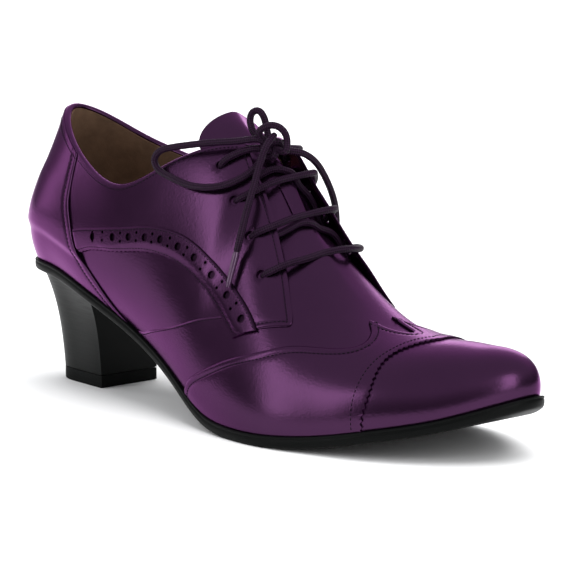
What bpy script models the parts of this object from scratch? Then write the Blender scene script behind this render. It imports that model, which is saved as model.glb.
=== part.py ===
"""Heeled oxford shoe for the right foot, standing on its heel and forefoot.

Frame: +X towards the toe, +Y towards the inner side of the foot, +Z up,
origin in the middle of the heel's base. Lengths are in metres.
"""
import math

import bmesh
import bpy
import numpy as np

# Last
LAST_LENGTH = 0.248
BALL_WIDTH = 0.084
UPPER_HEIGHT = 0.061
SEAT_PITCH = 0.045
TOE_SPRING = 0.018

# Bottom
SOLE_THICKNESS = 0.0045
SOLE_EDGE = 0.0022
HEEL_SEAT_LENGTH = 0.049
HEEL_BASE_LENGTH = 0.034
HEEL_BASE_WIDTH = 0.0285
HEEL_BASE_SETBACK = 0.010
HEEL_BASE_ROUNDNESS = 0.8
HEEL_EDGE_INSET = 0.0036
TOP_LIFT_THICKNESS = 0.005
INSOLE_THICKNESS = 0.002

# Upper
WALL = 0.0018
OVERLAY = 0.0009
TONGUE_THICKNESS = 0.0018
LACE_DIAMETER = 0.0026
AGLET_DIAMETER = 0.0030
KNOT_DIAMETER = 0.0052

GAP = 0.0003
OVERLAY_GAP = 0.0005
FLAT_SNAP = 0.00025
MERGE = 0.00001

MM = 0.001

# Shares of the girth: what the wing's cap seam and the counter's edge keep clear, and
# how near a rib's end the surface's direction is still taken.
CAP_OVERLAP = 0.004
COUNTER_CLEARANCE = 0.005
RIB_END = 0.985

# Rise by which a lace stays on the leather beside the throat.
LACE_MARGIN = 0.02

# Levels of the heel from its base to its seat, and how much of its widening is straight.
HEEL_LEVELS = (0.0, 0.25, 0.5, 0.7, 0.85, 1.0)
HEEL_STRAIGHTNESS = 0.4

# Ribs of the last, from the heel's back to the toe's tip. along, side_out and side_in
# place the feather line; top_along, top_out, top_in and the rises place the top of the
# rib; low and high columns are the handles of the rib's curve. Lengths are shares of
# LAST_LENGTH along the shoe, of BALL_WIDTH across it and of UPPER_HEIGHT upwards.
RIB_COLUMNS = (
    "along", "side_out", "side_in", "top_along", "top_out", "top_in",
    "rise_out", "rise_in", "low_wide", "low_up", "high_wide", "high_up",
)
RIBS = (
    (0.000, 0.000, 0.000, 0.052, 0.000, 0.000, 1.000, 1.000, 0.089, 0.328, 0.113, -0.492),
    (0.030, -0.190, 0.173, 0.071, -0.101, 0.113, 0.960, 0.944, 0.095, 0.328, 0.107, -0.459),
    (0.100, -0.262, 0.268, 0.117, -0.196, 0.226, 0.866, 0.833, 0.101, 0.311, 0.089, -0.393),
    (0.200, -0.310, 0.292, 0.202, -0.286, 0.304, 0.777, 0.801, 0.095, 0.279, 0.048, -0.262),
    (0.300, -0.321, 0.268, 0.306, -0.327, 0.333, 0.840, 0.897, 0.107, 0.279, 0.048, -0.230),
    (0.400, -0.357, 0.244, 0.407, -0.244, 0.256, 1.205, 1.230, 0.113, 0.311, 0.095, -0.197),
    (0.500, -0.429, 0.280, 0.512, -0.071, 0.071, 1.477, 1.493, 0.095, 0.328, 0.190, -0.115),
    (0.590, -0.482, 0.369, 0.569, 0.000, 0.000, 1.351, 1.351, 0.071, 0.328, 0.202, -0.049),
    (0.680, -0.494, 0.446, 0.637, -0.012, -0.012, 0.964, 0.964, 0.048, 0.311, 0.214, -0.033),
    (0.760, -0.440, 0.458, 0.730, -0.012, -0.012, 0.621, 0.621, 0.036, 0.262, 0.238, 0.000),
    (0.840, -0.363, 0.423, 0.810, 0.024, 0.024, 0.448, 0.448, 0.030, 0.230, 0.262, 0.000),
    (0.920, -0.226, 0.321, 0.875, 0.060, 0.060, 0.365, 0.365, 0.024, 0.197, 0.214, 0.000),
    (0.975, -0.065, 0.208, 0.907, 0.083, 0.083, 0.280, 0.280, 0.024, 0.180, 0.167, 0.000),
    (1.000, 0.095, 0.095, 0.917, 0.095, 0.095, 0.238, 0.238, 0.024, 0.180, 0.155, 0.000),
)

# Feather line's height above the sole's tread: shares of SEAT_PITCH and TOE_SPRING.
BED_COLUMNS = ("along", "pitch", "spring")
BED = (
    (0.00, 1.000, 0.000),
    (0.08, 0.984, 0.000),
    (0.20, 0.836, 0.000),
    (0.32, 0.582, 0.000),
    (0.45, 0.256, 0.000),
    (0.54, 0.040, 0.000),
    (0.60, 0.000, 0.000),
    (0.66, 0.000, 0.000),
    (0.71, 0.000, 0.039),
    (0.77, 0.000, 0.139),
    (0.85, 0.000, 0.361),
    (0.93, 0.000, 0.628),
    (1.00, 0.000, 1.000),
)

# Seams as (girth, rise): girth runs 0 at the heel's back to 1 at the toe's tip along
# either side, rise runs 0 at the feather line to 1 at the rib's top.
THROAT = (
    (0.478, 1.00), (0.500, 0.90), (0.550, 0.80), (0.585, 0.772), (0.610, 0.744),
    (0.632, 0.712), (0.645, 0.77), (0.655, 0.88), (0.660, 1.00),
)
COUNTER_SEAM = (
    (0.310, 0.03), (0.268, 0.144), (0.242, 0.238), (0.225, 0.325),
    (0.210, 0.494), (0.198, 0.625), (0.190, 0.812), (0.188, 0.985),
)
STRAP_TOP = (
    (0.226, 0.515), (0.268, 0.600), (0.338, 0.655), (0.398, 0.600), (0.440, 0.556),
    (0.480, 0.525), (0.540, 0.481), (0.595, 0.445), (0.618, 0.419),
)
STRAP_BOTTOM = (
    (0.240, 0.405), (0.283, 0.500), (0.333, 0.540), (0.380, 0.520), (0.435, 0.488),
    (0.480, 0.456), (0.530, 0.419), (0.562, 0.394), (0.592, 0.369),
)
QUARTER_TOP = (
    (0.196, 0.985), (0.260, 0.985), (0.330, 0.985), (0.400, 0.985), (0.474, 0.985),
    (0.510, 0.875), (0.550, 0.800), (0.585, 0.772), (0.610, 0.744), (0.640, 0.700),
    (0.672, 0.600),
)
QUARTER_BOTTOM = (
    (0.226, 0.525), (0.268, 0.610), (0.338, 0.665), (0.398, 0.610), (0.440, 0.566),
    (0.480, 0.535), (0.540, 0.491), (0.595, 0.455), (0.620, 0.428), (0.645, 0.47),
    (0.670, 0.530),
)
WING_EDGE = (
    (0.478, 0.03), (0.510, 0.150), (0.570, 0.256), (0.635, 0.350), (0.688, 0.469),
    (0.720, 0.537), (0.745, 0.594), (0.758, 0.663), (0.755, 0.763), (0.738, 0.869),
    (0.735, 1.00),
)
CAP_SEAM = (
    (0.787, 0.03), (0.787, 0.200), (0.792, 0.400), (0.802, 0.594), (0.815, 0.763),
    (0.823, 0.875), (0.833, 1.00),
)

# Lace holes up either facing, lowest first, with the girths at which the lace from
# each leaves the facing's edge and crosses the ridge.
EYELET_COLUMNS = ("girth", "rise", "edge_girth", "ridge_girth")
EYELETS = (
    (0.605, 0.588, 0.645, 0.668), (0.557, 0.644, 0.606, 0.636),
    (0.507, 0.713, 0.552, 0.590), (0.465, 0.844, 0.498, 0.498),
)

# Tongue: rows under the upper, from the vamp up the throat, each as the girth and the
# rise of its two edges, then rows that stand free above the facings, each as its shift
# back and up from the last of them, its share of the width and how far its edges hang
# under its crest. All but the width are shares of UPPER_HEIGHT.
TONGUE = (
    (0.700, 0.80), (0.680, 0.72), (0.660, 0.66), (0.635, 0.60), (0.605, 0.60),
    (0.575, 0.62), (0.545, 0.66), (0.515, 0.70), (0.490, 0.745),
)
TONGUE_TIP_COLUMNS = ("back", "up", "width", "hang")
TONGUE_TIP = (
    (0.115, 0.077, 0.80, 0.190), (0.190, 0.125, 0.72, 0.185), (0.270, 0.178, 0.84, 0.160),
    (0.344, 0.213, 0.90, 0.150),
)
TONGUE_ARCH = 1.5

# How far the sole's edge stands out of the feather line, as a share of SOLE_EDGE.
EDGE_COLUMNS = ("girth", "share")
EDGE = ((0.0, 0.85), (0.2, 0.75), (0.38, 0.55), (0.55, 0.9), (0.7, 1.0), (1.0, 1.0))

# Profile of the sole's side, top to bottom: inset in metres and share of the thickness.
SOLE_SIDE = ((0.0002, 0.0), (0.0, 0.12), (0.0001, 0.70), (0.0010, 1.0))

# Routes of the free laces, in millimetres of the model's own frame.
ROUTES = {
    "lace_loop_long": (
        (103.6, -7.7, 103.1), (98.7, -11.8, 103.0), (93.9, -14.6, 102.4), (88.1, -18.1, 101.9),
        (79.2, -22.0, 100.7), (72.5, -25.0, 99.5), (68.3, -27.0, 97.7), (66.7, -27.6, 94.9),
        (68.4, -27.7, 91.8), (72.5, -27.3, 89.7), (77.7, -27.0, 88.2), (83.8, -26.3, 86.7),
        (91.2, -24.7, 86.2), (97.5, -22.2, 87.0), (102.3, -18.6, 89.2), (104.6, -15.2, 91.5),
    ),
    "lace_loop_short": (
        (102.9, -3.6, 102.2), (100.5, -4.6, 103.0), (97.9, -5.4, 104.5), (95.6, -5.4, 107.4),
        (94.4, -4.8, 110.4), (95.1, -4.0, 112.8), (97.0, -3.2, 113.3), (98.8, -2.6, 111.8),
        (99.8, -2.2, 109.2), (100.6, -2.2, 106.5), (101.9, -2.6, 103.9),
    ),
    "lace_wrap": (
        (103.6, -8.9, 106.1), (105.5, -7.9, 108.0), (108.3, -6.2, 108.7), (110.7, -4.6, 107.6),
        (112.1, -3.4, 105.1), (112.7, -3.4, 102.2), (113.1, -4.4, 99.7),
    ),
    "lace_end_near": (
        (109.0, -6.0, 105.4), (109.4, -9.1, 103.2), (109.4, -11.4, 100.4), (109.2, -13.1, 96.5),
        (109.7, -15.2, 92.6), (110.7, -17.7, 88.5), (111.6, -20.6, 83.3), (111.8, -22.9, 77.8),
        (113.0, -26.0, 72.2), (113.0, -27.8, 66.9), (112.5, -28.1, 64.7),
    ),
    "lace_end_far": (
        (107.1, -1.2, 99.8), (108.9, 0.8, 99.1), (110.4, 3.2, 98.7), (111.1, 7.4, 97.4),
        (111.0, 12.4, 94.4), (110.3, 17.4, 89.4), (109.6, 21.4, 83.9), (108.2, 25.0, 78.3),
        (105.6, 28.6, 71.8), (102.5, 31.6, 63.7),
    ),
}

# Stiffened ends of the laces and the middle of the bow's knot.
AGLETS = {
    "near": ((112.5, -28.3, 64.2), (113.1, -33.0, 52.5)),
    "far": ((102.35, 31.75, 63.2), (98.7, 34.2, 50.5)),
}
KNOT_PLACE = (105.3, -4.1, 100.1)


def column(table, names, name):
    """One named column of a table."""
    return np.array([row[names.index(name)] for row in table])


def cubic(knots, values, period=None):
    """Smooth cubic through the values, natural at its ends or closed over the period."""
    knots = np.asarray(knots, float)
    values = np.asarray(values, float).reshape(len(knots), -1)
    count = len(knots)
    if period is None:
        steps = np.diff(knots)
    else:
        steps = np.diff(np.append(knots, knots[0] + period))
    system = np.zeros((count, count))
    right = np.zeros_like(values)
    for i in range(count):
        if period is None and i in (0, count - 1):
            system[i, i] = 1.0
            continue
        before, after = steps[i - 1], steps[i % len(steps)]
        following = (i + 1) % count
        system[i, i - 1] += before
        system[i, i] += 2 * (before + after)
        system[i, following] += after
        right[i] = 6 * ((values[following] - values[i]) / after
                        - (values[i] - values[i - 1]) / before)
    bends = np.linalg.solve(system, right)
    if period is not None:
        knots = np.append(knots, knots[0] + period)
        values = np.vstack([values, values[:1]])
        bends = np.vstack([bends, bends[:1]])

    def at(where):
        where = np.asarray(where, float)
        if period is not None:
            where = (where - knots[0]) % period + knots[0]
        i = np.clip(np.searchsorted(knots, where, side="right") - 1, 0, len(knots) - 2)
        step = (knots[i + 1] - knots[i])[..., None]
        a = (knots[i + 1][..., None] - where[..., None]) / step
        b = 1 - a
        return (a * values[i] + b * values[i + 1]
                + ((a ** 3 - a) * bends[i] + (b ** 3 - b) * bends[i + 1]) * step ** 2 / 6)

    return at


class Last:
    """Surface of the foot's form: girth 0 to 1 runs along the outer side to the toe's
    tip, 1 to 2 back along the inner side; rise 0 to 1 runs up each rib."""

    def __init__(self):
        table = {name: column(RIBS, RIB_COLUMNS, name) for name in RIB_COLUMNS}
        outer = self.columns(table, "out")
        inner = self.columns(table, "in")
        reach = [self.distances(side) for side in (outer, inner)]
        self.girths = (reach[0] / reach[0][-1] + reach[1] / reach[1][-1]) / 2
        knots = np.concatenate([self.girths, 2 - self.girths[-2:0:-1]])
        self.ring = cubic(knots, np.vstack([outer, inner[-2:0:-1]]), 2.0)
        along, pitch, spring = (column(BED, BED_COLUMNS, name) for name in BED_COLUMNS)
        self.bed = cubic(along * LAST_LENGTH,
                         SOLE_THICKNESS + pitch * SEAT_PITCH + spring * TOE_SPRING)

    @staticmethod
    def columns(table, side):
        return np.stack([
            table["along"] * LAST_LENGTH, table["side_" + side] * BALL_WIDTH,
            table["top_along"] * LAST_LENGTH, table["top_" + side] * BALL_WIDTH,
            table["rise_" + side] * UPPER_HEIGHT,
            table["low_wide"] * BALL_WIDTH, table["low_up"] * UPPER_HEIGHT,
            table["high_wide"] * BALL_WIDTH, table["high_up"] * UPPER_HEIGHT,
        ], axis=1)

    @staticmethod
    def distances(side):
        steps = np.hypot(np.diff(side[:, 0]), np.diff(side[:, 1]))
        return np.concatenate([[0.0], np.cumsum(steps)])

    def height(self, along):
        """Height of the feather line at a distance from the heel's back."""
        return self.bed(along)[..., 0]

    def ramp(self, girth, first, last):
        share = 1 - np.abs(1 - girth % 2.0)
        share = (share - self.girths[first]) / (self.girths[last] - self.girths[first])
        return np.clip(share, 0, 1)[..., None]

    def outwards(self, girth):
        step = 0.002
        run = self.ring(girth + step)[..., :2] - self.ring(girth - step)[..., :2]
        run /= np.linalg.norm(run, axis=-1, keepdims=True)
        return np.stack([run[..., 1], -run[..., 0], 0 * run[..., 0]], -1)

    def feather(self, girth, outset=0.0, lift=0.0):
        """Points of the feather line, moved outwards and upwards."""
        girth = np.asarray(girth, float)
        row = self.ring(girth)
        spot = np.stack([row[..., 0], row[..., 1], 0 * row[..., 0]], -1)
        spot = spot + self.outwards(girth) * np.asarray(outset)[..., None]
        spot[..., 2] = self.height(spot[..., 0]) + lift
        return spot

    def top(self, girth):
        row = self.ring(girth)
        lift = self.height(row[..., 0]) + row[..., 4]
        return np.stack([row[..., 2], row[..., 3], lift], -1)

    def point(self, girth, rise):
        girth = np.asarray(girth, float)
        rise = np.asarray(rise, float)[..., None]
        row = self.ring(girth)
        up = np.array([0.0, 0.0, 1.0])
        out = self.outwards(girth)
        start = self.feather(girth)
        joined = self.ramp(girth, 6, 7)
        joined = joined * joined * (3 - 2 * joined)
        end = self.top(girth)
        end = end * (1 - joined / 2) + self.top(2 - girth) * joined / 2
        sideways = np.stack([0 * girth, np.where(girth % 2.0 < 1, -1.0, 1.0), 0 * girth], -1)
        square = self.ramp(girth, 5, 7) * (1 - self.ramp(girth, 11, 13))
        lean = out * (1 - square) + sideways * square
        lean /= np.linalg.norm(lean, axis=-1, keepdims=True)
        low = start + out * row[..., 5:6] + up * row[..., 6:7]
        high = end + lean * row[..., 7:8] + up * row[..., 8:9]
        back = 1 - rise
        return (back ** 3 * start + 3 * back ** 2 * rise * low
                + 3 * back * rise ** 2 * high + rise ** 3 * end)

    def normal(self, girth, rise):
        girth = np.asarray(girth, float)
        rise = np.minimum(np.asarray(rise, float), RIB_END)
        step = 0.001
        along = self.point(girth + step, rise) - self.point(girth - step, rise)
        over = (self.point(girth, np.minimum(rise + step, 1))
                - self.point(girth, np.maximum(rise - step, 0)))
        face = np.cross(along, over)
        return face / np.linalg.norm(face, axis=-1, keepdims=True)

    def raised(self, girth, rise, lift):
        return self.point(girth, rise) + self.normal(girth, rise) * lift


LAST = Last()
ORIGIN = np.array([HEEL_BASE_SETBACK + HEEL_BASE_LENGTH / 2, 0.0, 0.0])


def material(name, colour, roughness, metallic=0.0):
    finish = bpy.data.materials.new(name)
    finish.use_nodes = True
    shader = finish.node_tree.nodes["Principled BSDF"]
    shader.inputs["Base Color"].default_value = (*colour, 1.0)
    shader.inputs["Roughness"].default_value = roughness
    shader.inputs["Metallic"].default_value = metallic
    finish.diffuse_color = (*colour, 1.0)
    return finish


def add_mesh(name, points, faces, finish):
    """One object from points in the last's frame, moved to the model's origin."""
    mesh = bpy.data.meshes.new(name)
    mesh.from_pydata([tuple(p) for p in np.asarray(points) - ORIGIN], [], faces)
    work = bmesh.new()
    work.from_mesh(mesh)
    bmesh.ops.remove_doubles(work, verts=work.verts, dist=MERGE)
    bmesh.ops.dissolve_degenerate(work, edges=work.edges, dist=MERGE)
    work.to_mesh(mesh)
    work.free()
    mesh.materials.append(finish)
    piece = bpy.data.objects.new(name, mesh)
    SHOE.objects.link(piece)
    return piece


def grid_faces(rows, columns, closed=False):
    """Quads of a grid whose first index runs with the girth."""
    faces = []
    for i in range(rows if closed else rows - 1):
        following = (i + 1) % rows
        for j in range(columns - 1):
            faces.append((i * columns + j, following * columns + j,
                          following * columns + j + 1, i * columns + j + 1))
    return faces


def thicken(piece, thickness, outwards):
    """Give a surface its wall, on one side of it."""
    wall = piece.modifiers.new("Wall", "SOLIDIFY")
    wall.thickness = thickness
    wall.offset = 1.0 if outwards else -1.0
    wall.use_even_offset = True
    return piece


def smooth(piece, angle=40.0):
    piece.data.shade_smooth()
    piece.data.set_sharp_from_angle(angle=math.radians(angle))
    return piece


def seam(points, count):
    """Evenly spaced places along a seam's smooth curve."""
    points = np.array(points)
    steps = np.hypot(*np.diff(points, axis=0).T)
    knots = np.concatenate([[0.0], np.cumsum(steps)])
    return cubic(knots / knots[-1], points)(np.linspace(0, 1, count))


def throat_edge(girth):
    """Rise at which a rib meets the shoe's opening."""
    side = 1 - np.abs(1 - np.asarray(girth) % 2.0)
    table = np.array(THROAT)
    return np.interp(side, table[:, 0], table[:, 1], left=1.0, right=1.0)


def upper(finish):
    """Hollow leather body, open at the collar, down the throat and underneath."""
    side = np.concatenate([
        np.linspace(0.0, 0.46, 18)[:-1], np.linspace(0.46, 0.52, 5)[:-1],
        np.linspace(0.52, 0.62, 8)[:-1], np.linspace(0.62, 0.67, 6)[:-1],
        np.linspace(0.67, 0.79, 9)[:-1], np.linspace(0.79, 1.0, 10),
    ])
    girth = np.concatenate([side, 2 - side[-2:0:-1]])
    share = np.linspace(0, 1, 11)
    girths, shares = np.meshgrid(girth, share, indexing="ij")
    points = LAST.point(girths, shares * throat_edge(girths))
    piece = add_mesh("upper", points.reshape(-1, 3),
                     grid_faces(len(girth), len(share), closed=True), finish)
    return smooth(thicken(piece, WALL, outwards=False))


def overlay(name, places, finish):
    """Leather piece stitched on the upper, from a grid of (girth, rise) places."""
    places = np.asarray(places)
    points = LAST.raised(places[..., 0], places[..., 1], OVERLAY_GAP)
    piece = add_mesh(name, points.reshape(-1, 3), grid_faces(*places.shape[:2]), finish)
    return smooth(thicken(piece, OVERLAY, outwards=True))


def between(first, second, count):
    """Grid of places ruled from one seam to the other."""
    share = np.linspace(0, 1, count)[None, :, None]
    return first[:, None] * (1 - share) + second[:, None] * share


def mirrored(places):
    """The same places on the shoe's inner side, kept facing outwards."""
    places = np.array(places)[::-1]
    places[..., 0] = 2 - places[..., 0]
    return places


def side_overlays(finish):
    quarter = between(seam(QUARTER_BOTTOM, 22), seam(QUARTER_TOP, 22), 6)
    strap = between(seam(STRAP_BOTTOM, 18), seam(STRAP_TOP, 18), 3)
    for suffix, place in (("lateral", np.array), ("medial", mirrored)):
        overlay("quarter_" + suffix, place(quarter), finish)
        overlay("brogue_strap_" + suffix, place(strap), finish)


def heel_counter(finish):
    edge = seam(COUNTER_SEAM, 9)
    girth = edge[:, 0] - COUNTER_CLEARANCE
    share = np.linspace(-1, 1, 33)[:, None]
    places = np.stack([share * girth, np.ones_like(share) * edge[:, 1]], -1)
    overlay("heel_counter", places, finish)


def toe_overlays(finish):
    outer = between(seam(WING_EDGE, 16), seam(CAP_SEAM, 16), 9).transpose(1, 0, 2)
    inner = mirrored(outer)[:, ::-1]
    whole = np.concatenate([outer, inner[::-1][:, 1:]], axis=1)
    overlay("wing_tip", whole, finish)
    edge = seam(CAP_SEAM, 9)
    share = np.linspace(0, 1, 23)[:, None]
    first = edge[:, 0] + CAP_OVERLAP
    places = np.stack([first + share * (2 - 2 * first), np.ones_like(share) * edge[:, 1]], -1)
    overlay("toe_cap", places, finish)


def ring_solid(name, rings, finish):
    """Closed solid from rings of points, lowest first, each capped by straight strips
    between its outer and inner sides."""
    count = len(rings[0])
    points = np.concatenate(rings)
    faces = []
    for level in range(len(rings) - 1):
        for i in range(count):
            following = (i + 1) % count
            low, high = level * count, (level + 1) * count
            faces.append((low + i, low + following, high + following, high + i))
    top = (len(rings) - 1) * count
    for i in range(count // 2):
        left, right = (count - i) % count, count - i - 1
        corners = list(dict.fromkeys((i, i + 1, right, left)))
        if len(corners) > 2:
            faces.append(tuple(top + corner for corner in corners))
            faces.append(tuple(corners[::-1]))
    return add_mesh(name, points, faces, finish)


def ring_girths(count):
    """Girths all the way round, with the given number from heel to toe."""
    side = np.linspace(0, 1, count)
    return np.concatenate([side, 2 - side[-2:0:-1]])


def edge_outset(girth):
    """How far the sole's edge stands out of the feather line."""
    side = 1 - np.abs(1 - np.asarray(girth) % 2.0)
    places, shares = (column(EDGE, EDGE_COLUMNS, name) for name in EDGE_COLUMNS)
    return SOLE_EDGE * cubic(places, shares)(side)[..., 0]


def tread_height(along):
    """Height of the sole's underside, flat where it rests on the ground."""
    low = LAST.height(along) - SOLE_THICKNESS
    return np.where(low < FLAT_SNAP, 0.0, low)


def outsole(finish):
    girth = ring_girths(41)
    rings = []
    for inset, share in SOLE_SIDE[::-1]:
        ring = LAST.feather(girth, edge_outset(girth) - inset)
        high = ring[:, 2] - GAP
        low = tread_height(ring[:, 0])
        ring[:, 2] = high + (low - high) * share
        rings.append(ring)
    return smooth(ring_solid("outsole", rings, finish), 50)


def insole(finish):
    girth = ring_girths(29)
    inset = WALL + 2 * GAP
    rings = [LAST.feather(girth, np.full(len(girth), -inset), lift)
             for lift in (GAP, GAP + INSOLE_THICKNESS)]
    return smooth(ring_solid("insole", rings, finish), 50)


def heel_outline(level):
    """Outline of the heel from its base, level 0, to its seat, level 1."""
    breast = np.interp(HEEL_SEAT_LENGTH, LAST.ring(np.linspace(0, 0.5, 60))[:, 0],
                       np.linspace(0, 0.5, 60))
    side = np.concatenate([np.linspace(0, 0.45, 8)[:-1], np.linspace(0.45, 1, 6)]) * breast
    girth = np.concatenate([side, 2 - side[:0:-1]])
    seat = LAST.feather(girth, edge_outset(girth) - HEEL_EDGE_INSET)
    seat[:, 0] = np.minimum(seat[:, 0], HEEL_SEAT_LENGTH)
    width = np.ptp(seat[:, 1])
    length = np.ptp(seat[:, 0])
    base = seat.copy()
    base[:, 0] = HEEL_BASE_SETBACK + (seat[:, 0] - seat[:, 0].min()) * HEEL_BASE_LENGTH / length
    middle = (seat[:, 1].max() + seat[:, 1].min()) / 2
    share = (seat[:, 1] - middle) * 2 / width
    base[:, 1] = np.sign(share) * np.abs(share) ** HEEL_BASE_ROUNDNESS * HEEL_BASE_WIDTH / 2
    flare = HEEL_STRAIGHTNESS * level + (1 - HEEL_STRAIGHTNESS) * level ** 3
    outline = base * (1 - flare) + seat * flare
    ceiling = tread_height(seat[:, 0]) - GAP
    floor = TOP_LIFT_THICKNESS + GAP
    outline[:, 2] = floor + (ceiling - floor) * level
    return outline


def heel(finish):
    rings = [heel_outline(level) for level in HEEL_LEVELS]
    return smooth(ring_solid("heel", rings, finish), 35)


def top_lift(finish):
    outline = heel_outline(0.0)
    rings = []
    for height in (0.0, TOP_LIFT_THICKNESS):
        ring = outline.copy()
        ring[:, 2] = height
        rings.append(ring)
    return smooth(ring_solid("top_lift", rings, finish), 35)


def across(girth, low, depth):
    """Points over the instep from the outer side's rise to the inner side's."""
    row = []
    for share in np.linspace(-1, 1, 11):
        rise = 1 - abs(share) * (1 - low)
        outer = LAST.raised(girth, rise, -depth)
        inner = LAST.raised(2 - girth, rise, -depth)
        weight = 0.5 + 0.5 * np.clip(share / 0.15, -1, 1)
        row.append(outer * (1 - weight) + inner * weight)
    return np.array(row)


def tongue(finish):
    """Leather tongue from under the vamp, up the throat and out above the facings."""
    depth = WALL + 3 * GAP
    rows = [across(girth, low, depth) for girth, low in TONGUE]
    last = rows[-1]
    middle = last.mean(axis=0)
    aside = (last[:, 1] - middle[1]) / np.abs(last[:, 1] - middle[1]).max()
    for values in TONGUE_TIP:
        tip = dict(zip(TONGUE_TIP_COLUMNS, values))
        row = last.copy()
        row[:, 0] -= tip["back"] * UPPER_HEIGHT
        row[:, 1] = middle[1] + (row[:, 1] - middle[1]) * tip["width"]
        fall = tip["hang"] * (np.abs(aside) * tip["width"]) ** TONGUE_ARCH
        row[:, 2] = last[:, 2].max() + (tip["up"] - fall) * UPPER_HEIGHT
        rows.append(row)
    points = np.array(rows)[::-1]
    faces = grid_faces(*points.shape[:2])
    piece = add_mesh("tongue", points.reshape(-1, 3), faces, finish)
    return smooth(thicken(piece, TONGUE_THICKNESS, outwards=False))


def tube(name, points, diameter, finish):
    """Round cord through points in the model's frame."""
    points = np.asarray(points)
    steps = np.linalg.norm(np.diff(points, axis=0), axis=1)
    knots = np.concatenate([[0.0], np.cumsum(steps)])
    count = max(3, round(knots[-1] / (2.2 * diameter)))
    smooth_points = cubic(knots, points)(np.linspace(0, knots[-1], count + 1))
    curve = bpy.data.curves.new(name, "CURVE")
    curve.dimensions = "3D"
    curve.bevel_depth = diameter / 2
    curve.bevel_resolution = 2
    curve.use_fill_caps = True
    spline = curve.splines.new("POLY")
    spline.points.add(count)
    for spot, place in zip(spline.points, smooth_points):
        spot.co = (*place, 1.0)
    curve.materials.append(finish)
    piece = bpy.data.objects.new(name, curve)
    SHOE.objects.link(piece)
    return piece


def lace_side(eyelet, inner, lift):
    """Three places from an eyelet to just inside its facing's edge."""
    hole = np.array([eyelet["girth"], eyelet["rise"]])
    edge_girth = eyelet["edge_girth"]
    edge = np.array([edge_girth, float(throat_edge(edge_girth)) + LACE_MARGIN])
    places = (hole, (hole + edge) / 2, edge)
    return [LAST.raised(2 - place if inner else place, height, lift) for place, height in places]


def lace_bars(finish):
    """Straight bars over the facings and the strands from the top eyelets to the knot."""
    lift = OVERLAY_GAP + OVERLAY + 2 * GAP + LACE_DIAMETER / 2
    eyelets = [dict(zip(EYELET_COLUMNS, row)) for row in EYELETS]
    for number, eyelet in enumerate(eyelets[:3], 1):
        girth = eyelet["ridge_girth"]
        ridge = (LAST.raised(girth, 1.0, lift) + LAST.raised(2 - girth, 1.0, lift)) / 2
        points = lace_side(eyelet, False, lift) + [ridge] + lace_side(eyelet, True, lift)[::-1]
        tube("lace_bar_%d" % number, np.array(points) - ORIGIN, LACE_DIAMETER, finish)
    knot = np.array(KNOT_PLACE) * MM + ORIGIN
    for suffix, inner in (("lateral", False), ("medial", True)):
        points = lace_side(eyelets[3], inner, lift)
        way = knot - points[-1]
        reach = np.linalg.norm(way) - KNOT_DIAMETER / 2 - 2 * GAP
        points.append(points[-1] + way / np.linalg.norm(way) * reach)
        tube("lace_top_" + suffix, np.array(points) - ORIGIN, LACE_DIAMETER, finish)


def free_laces(finish, tip_finish):
    for name, route in ROUTES.items():
        tube(name, np.array(route) * MM, LACE_DIAMETER, finish)
    for suffix in ("near", "far"):
        route = np.array(AGLETS[suffix]) * MM
        tube("aglet_" + suffix, route, AGLET_DIAMETER, tip_finish)
    bpy.ops.mesh.primitive_uv_sphere_add(segments=12, ring_count=8, radius=KNOT_DIAMETER / 2,
                                         location=np.array(KNOT_PLACE) * MM)
    knot = bpy.context.object
    knot.name = knot.data.name = "lace_knot"
    knot.data.materials.append(finish)
    knot.data.shade_smooth()
    bpy.context.collection.objects.unlink(knot)
    SHOE.objects.link(knot)


def clear_scene():
    for item in list(bpy.data.objects):
        bpy.data.objects.remove(item, do_unlink=True)


def new_collection(name):
    collection = bpy.data.collections.new(name)
    bpy.context.scene.collection.children.link(collection)
    return collection


clear_scene()
SHOE = new_collection("heeled oxford shoe")

LEATHER = material("purple leather", (0.060, 0.006, 0.062), 0.22)
LINING = material("tan lining", (0.42, 0.27, 0.16), 0.7)
SOLE_BLACK = material("black sole", (0.012, 0.013, 0.013), 0.35)
HEEL_BLACK = material("black heel", (0.016, 0.018, 0.018), 0.4)
LIFT_RUBBER = material("rubber top lift", (0.01, 0.01, 0.01), 0.6)
LACE = material("waxed lace", (0.045, 0.006, 0.045), 0.45)
AGLET = material("lace tip", (0.03, 0.005, 0.03), 0.25)

outsole(SOLE_BLACK)
heel(HEEL_BLACK)
top_lift(LIFT_RUBBER)
insole(LINING)
upper(LEATHER)
tongue(LEATHER)
side_overlays(LEATHER)
heel_counter(LEATHER)
toe_overlays(LEATHER)
lace_bars(LACE)
free_laces(LACE, AGLET)
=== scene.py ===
# %% [markdown]
# # A heeled oxford shoe
# The shoe is built the way a shoemaker builds it. Leather is cut flat, with its holes and
# gimped edges, and each piece is then pulled over the last, the form of the foot. Here the
# last is a smooth surface worked out from a few ribs, so a piece can be cut as a flat
# outline and lasted by moving its points onto that surface.

# %% Load the frame
import math

import bpy
import numpy as np
from mathutils import Matrix, Vector
from mathutils.geometry import delaunay_2d_cdt


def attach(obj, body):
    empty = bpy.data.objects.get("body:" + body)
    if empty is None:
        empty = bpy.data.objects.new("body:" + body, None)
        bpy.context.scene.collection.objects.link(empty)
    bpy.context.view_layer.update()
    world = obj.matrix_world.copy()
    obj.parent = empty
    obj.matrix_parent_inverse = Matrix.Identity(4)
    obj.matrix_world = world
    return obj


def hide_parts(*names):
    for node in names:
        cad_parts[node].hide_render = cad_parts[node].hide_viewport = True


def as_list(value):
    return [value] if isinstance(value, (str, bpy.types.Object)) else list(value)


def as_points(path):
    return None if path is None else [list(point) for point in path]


MM = 0.001
BODY = "root"

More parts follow.
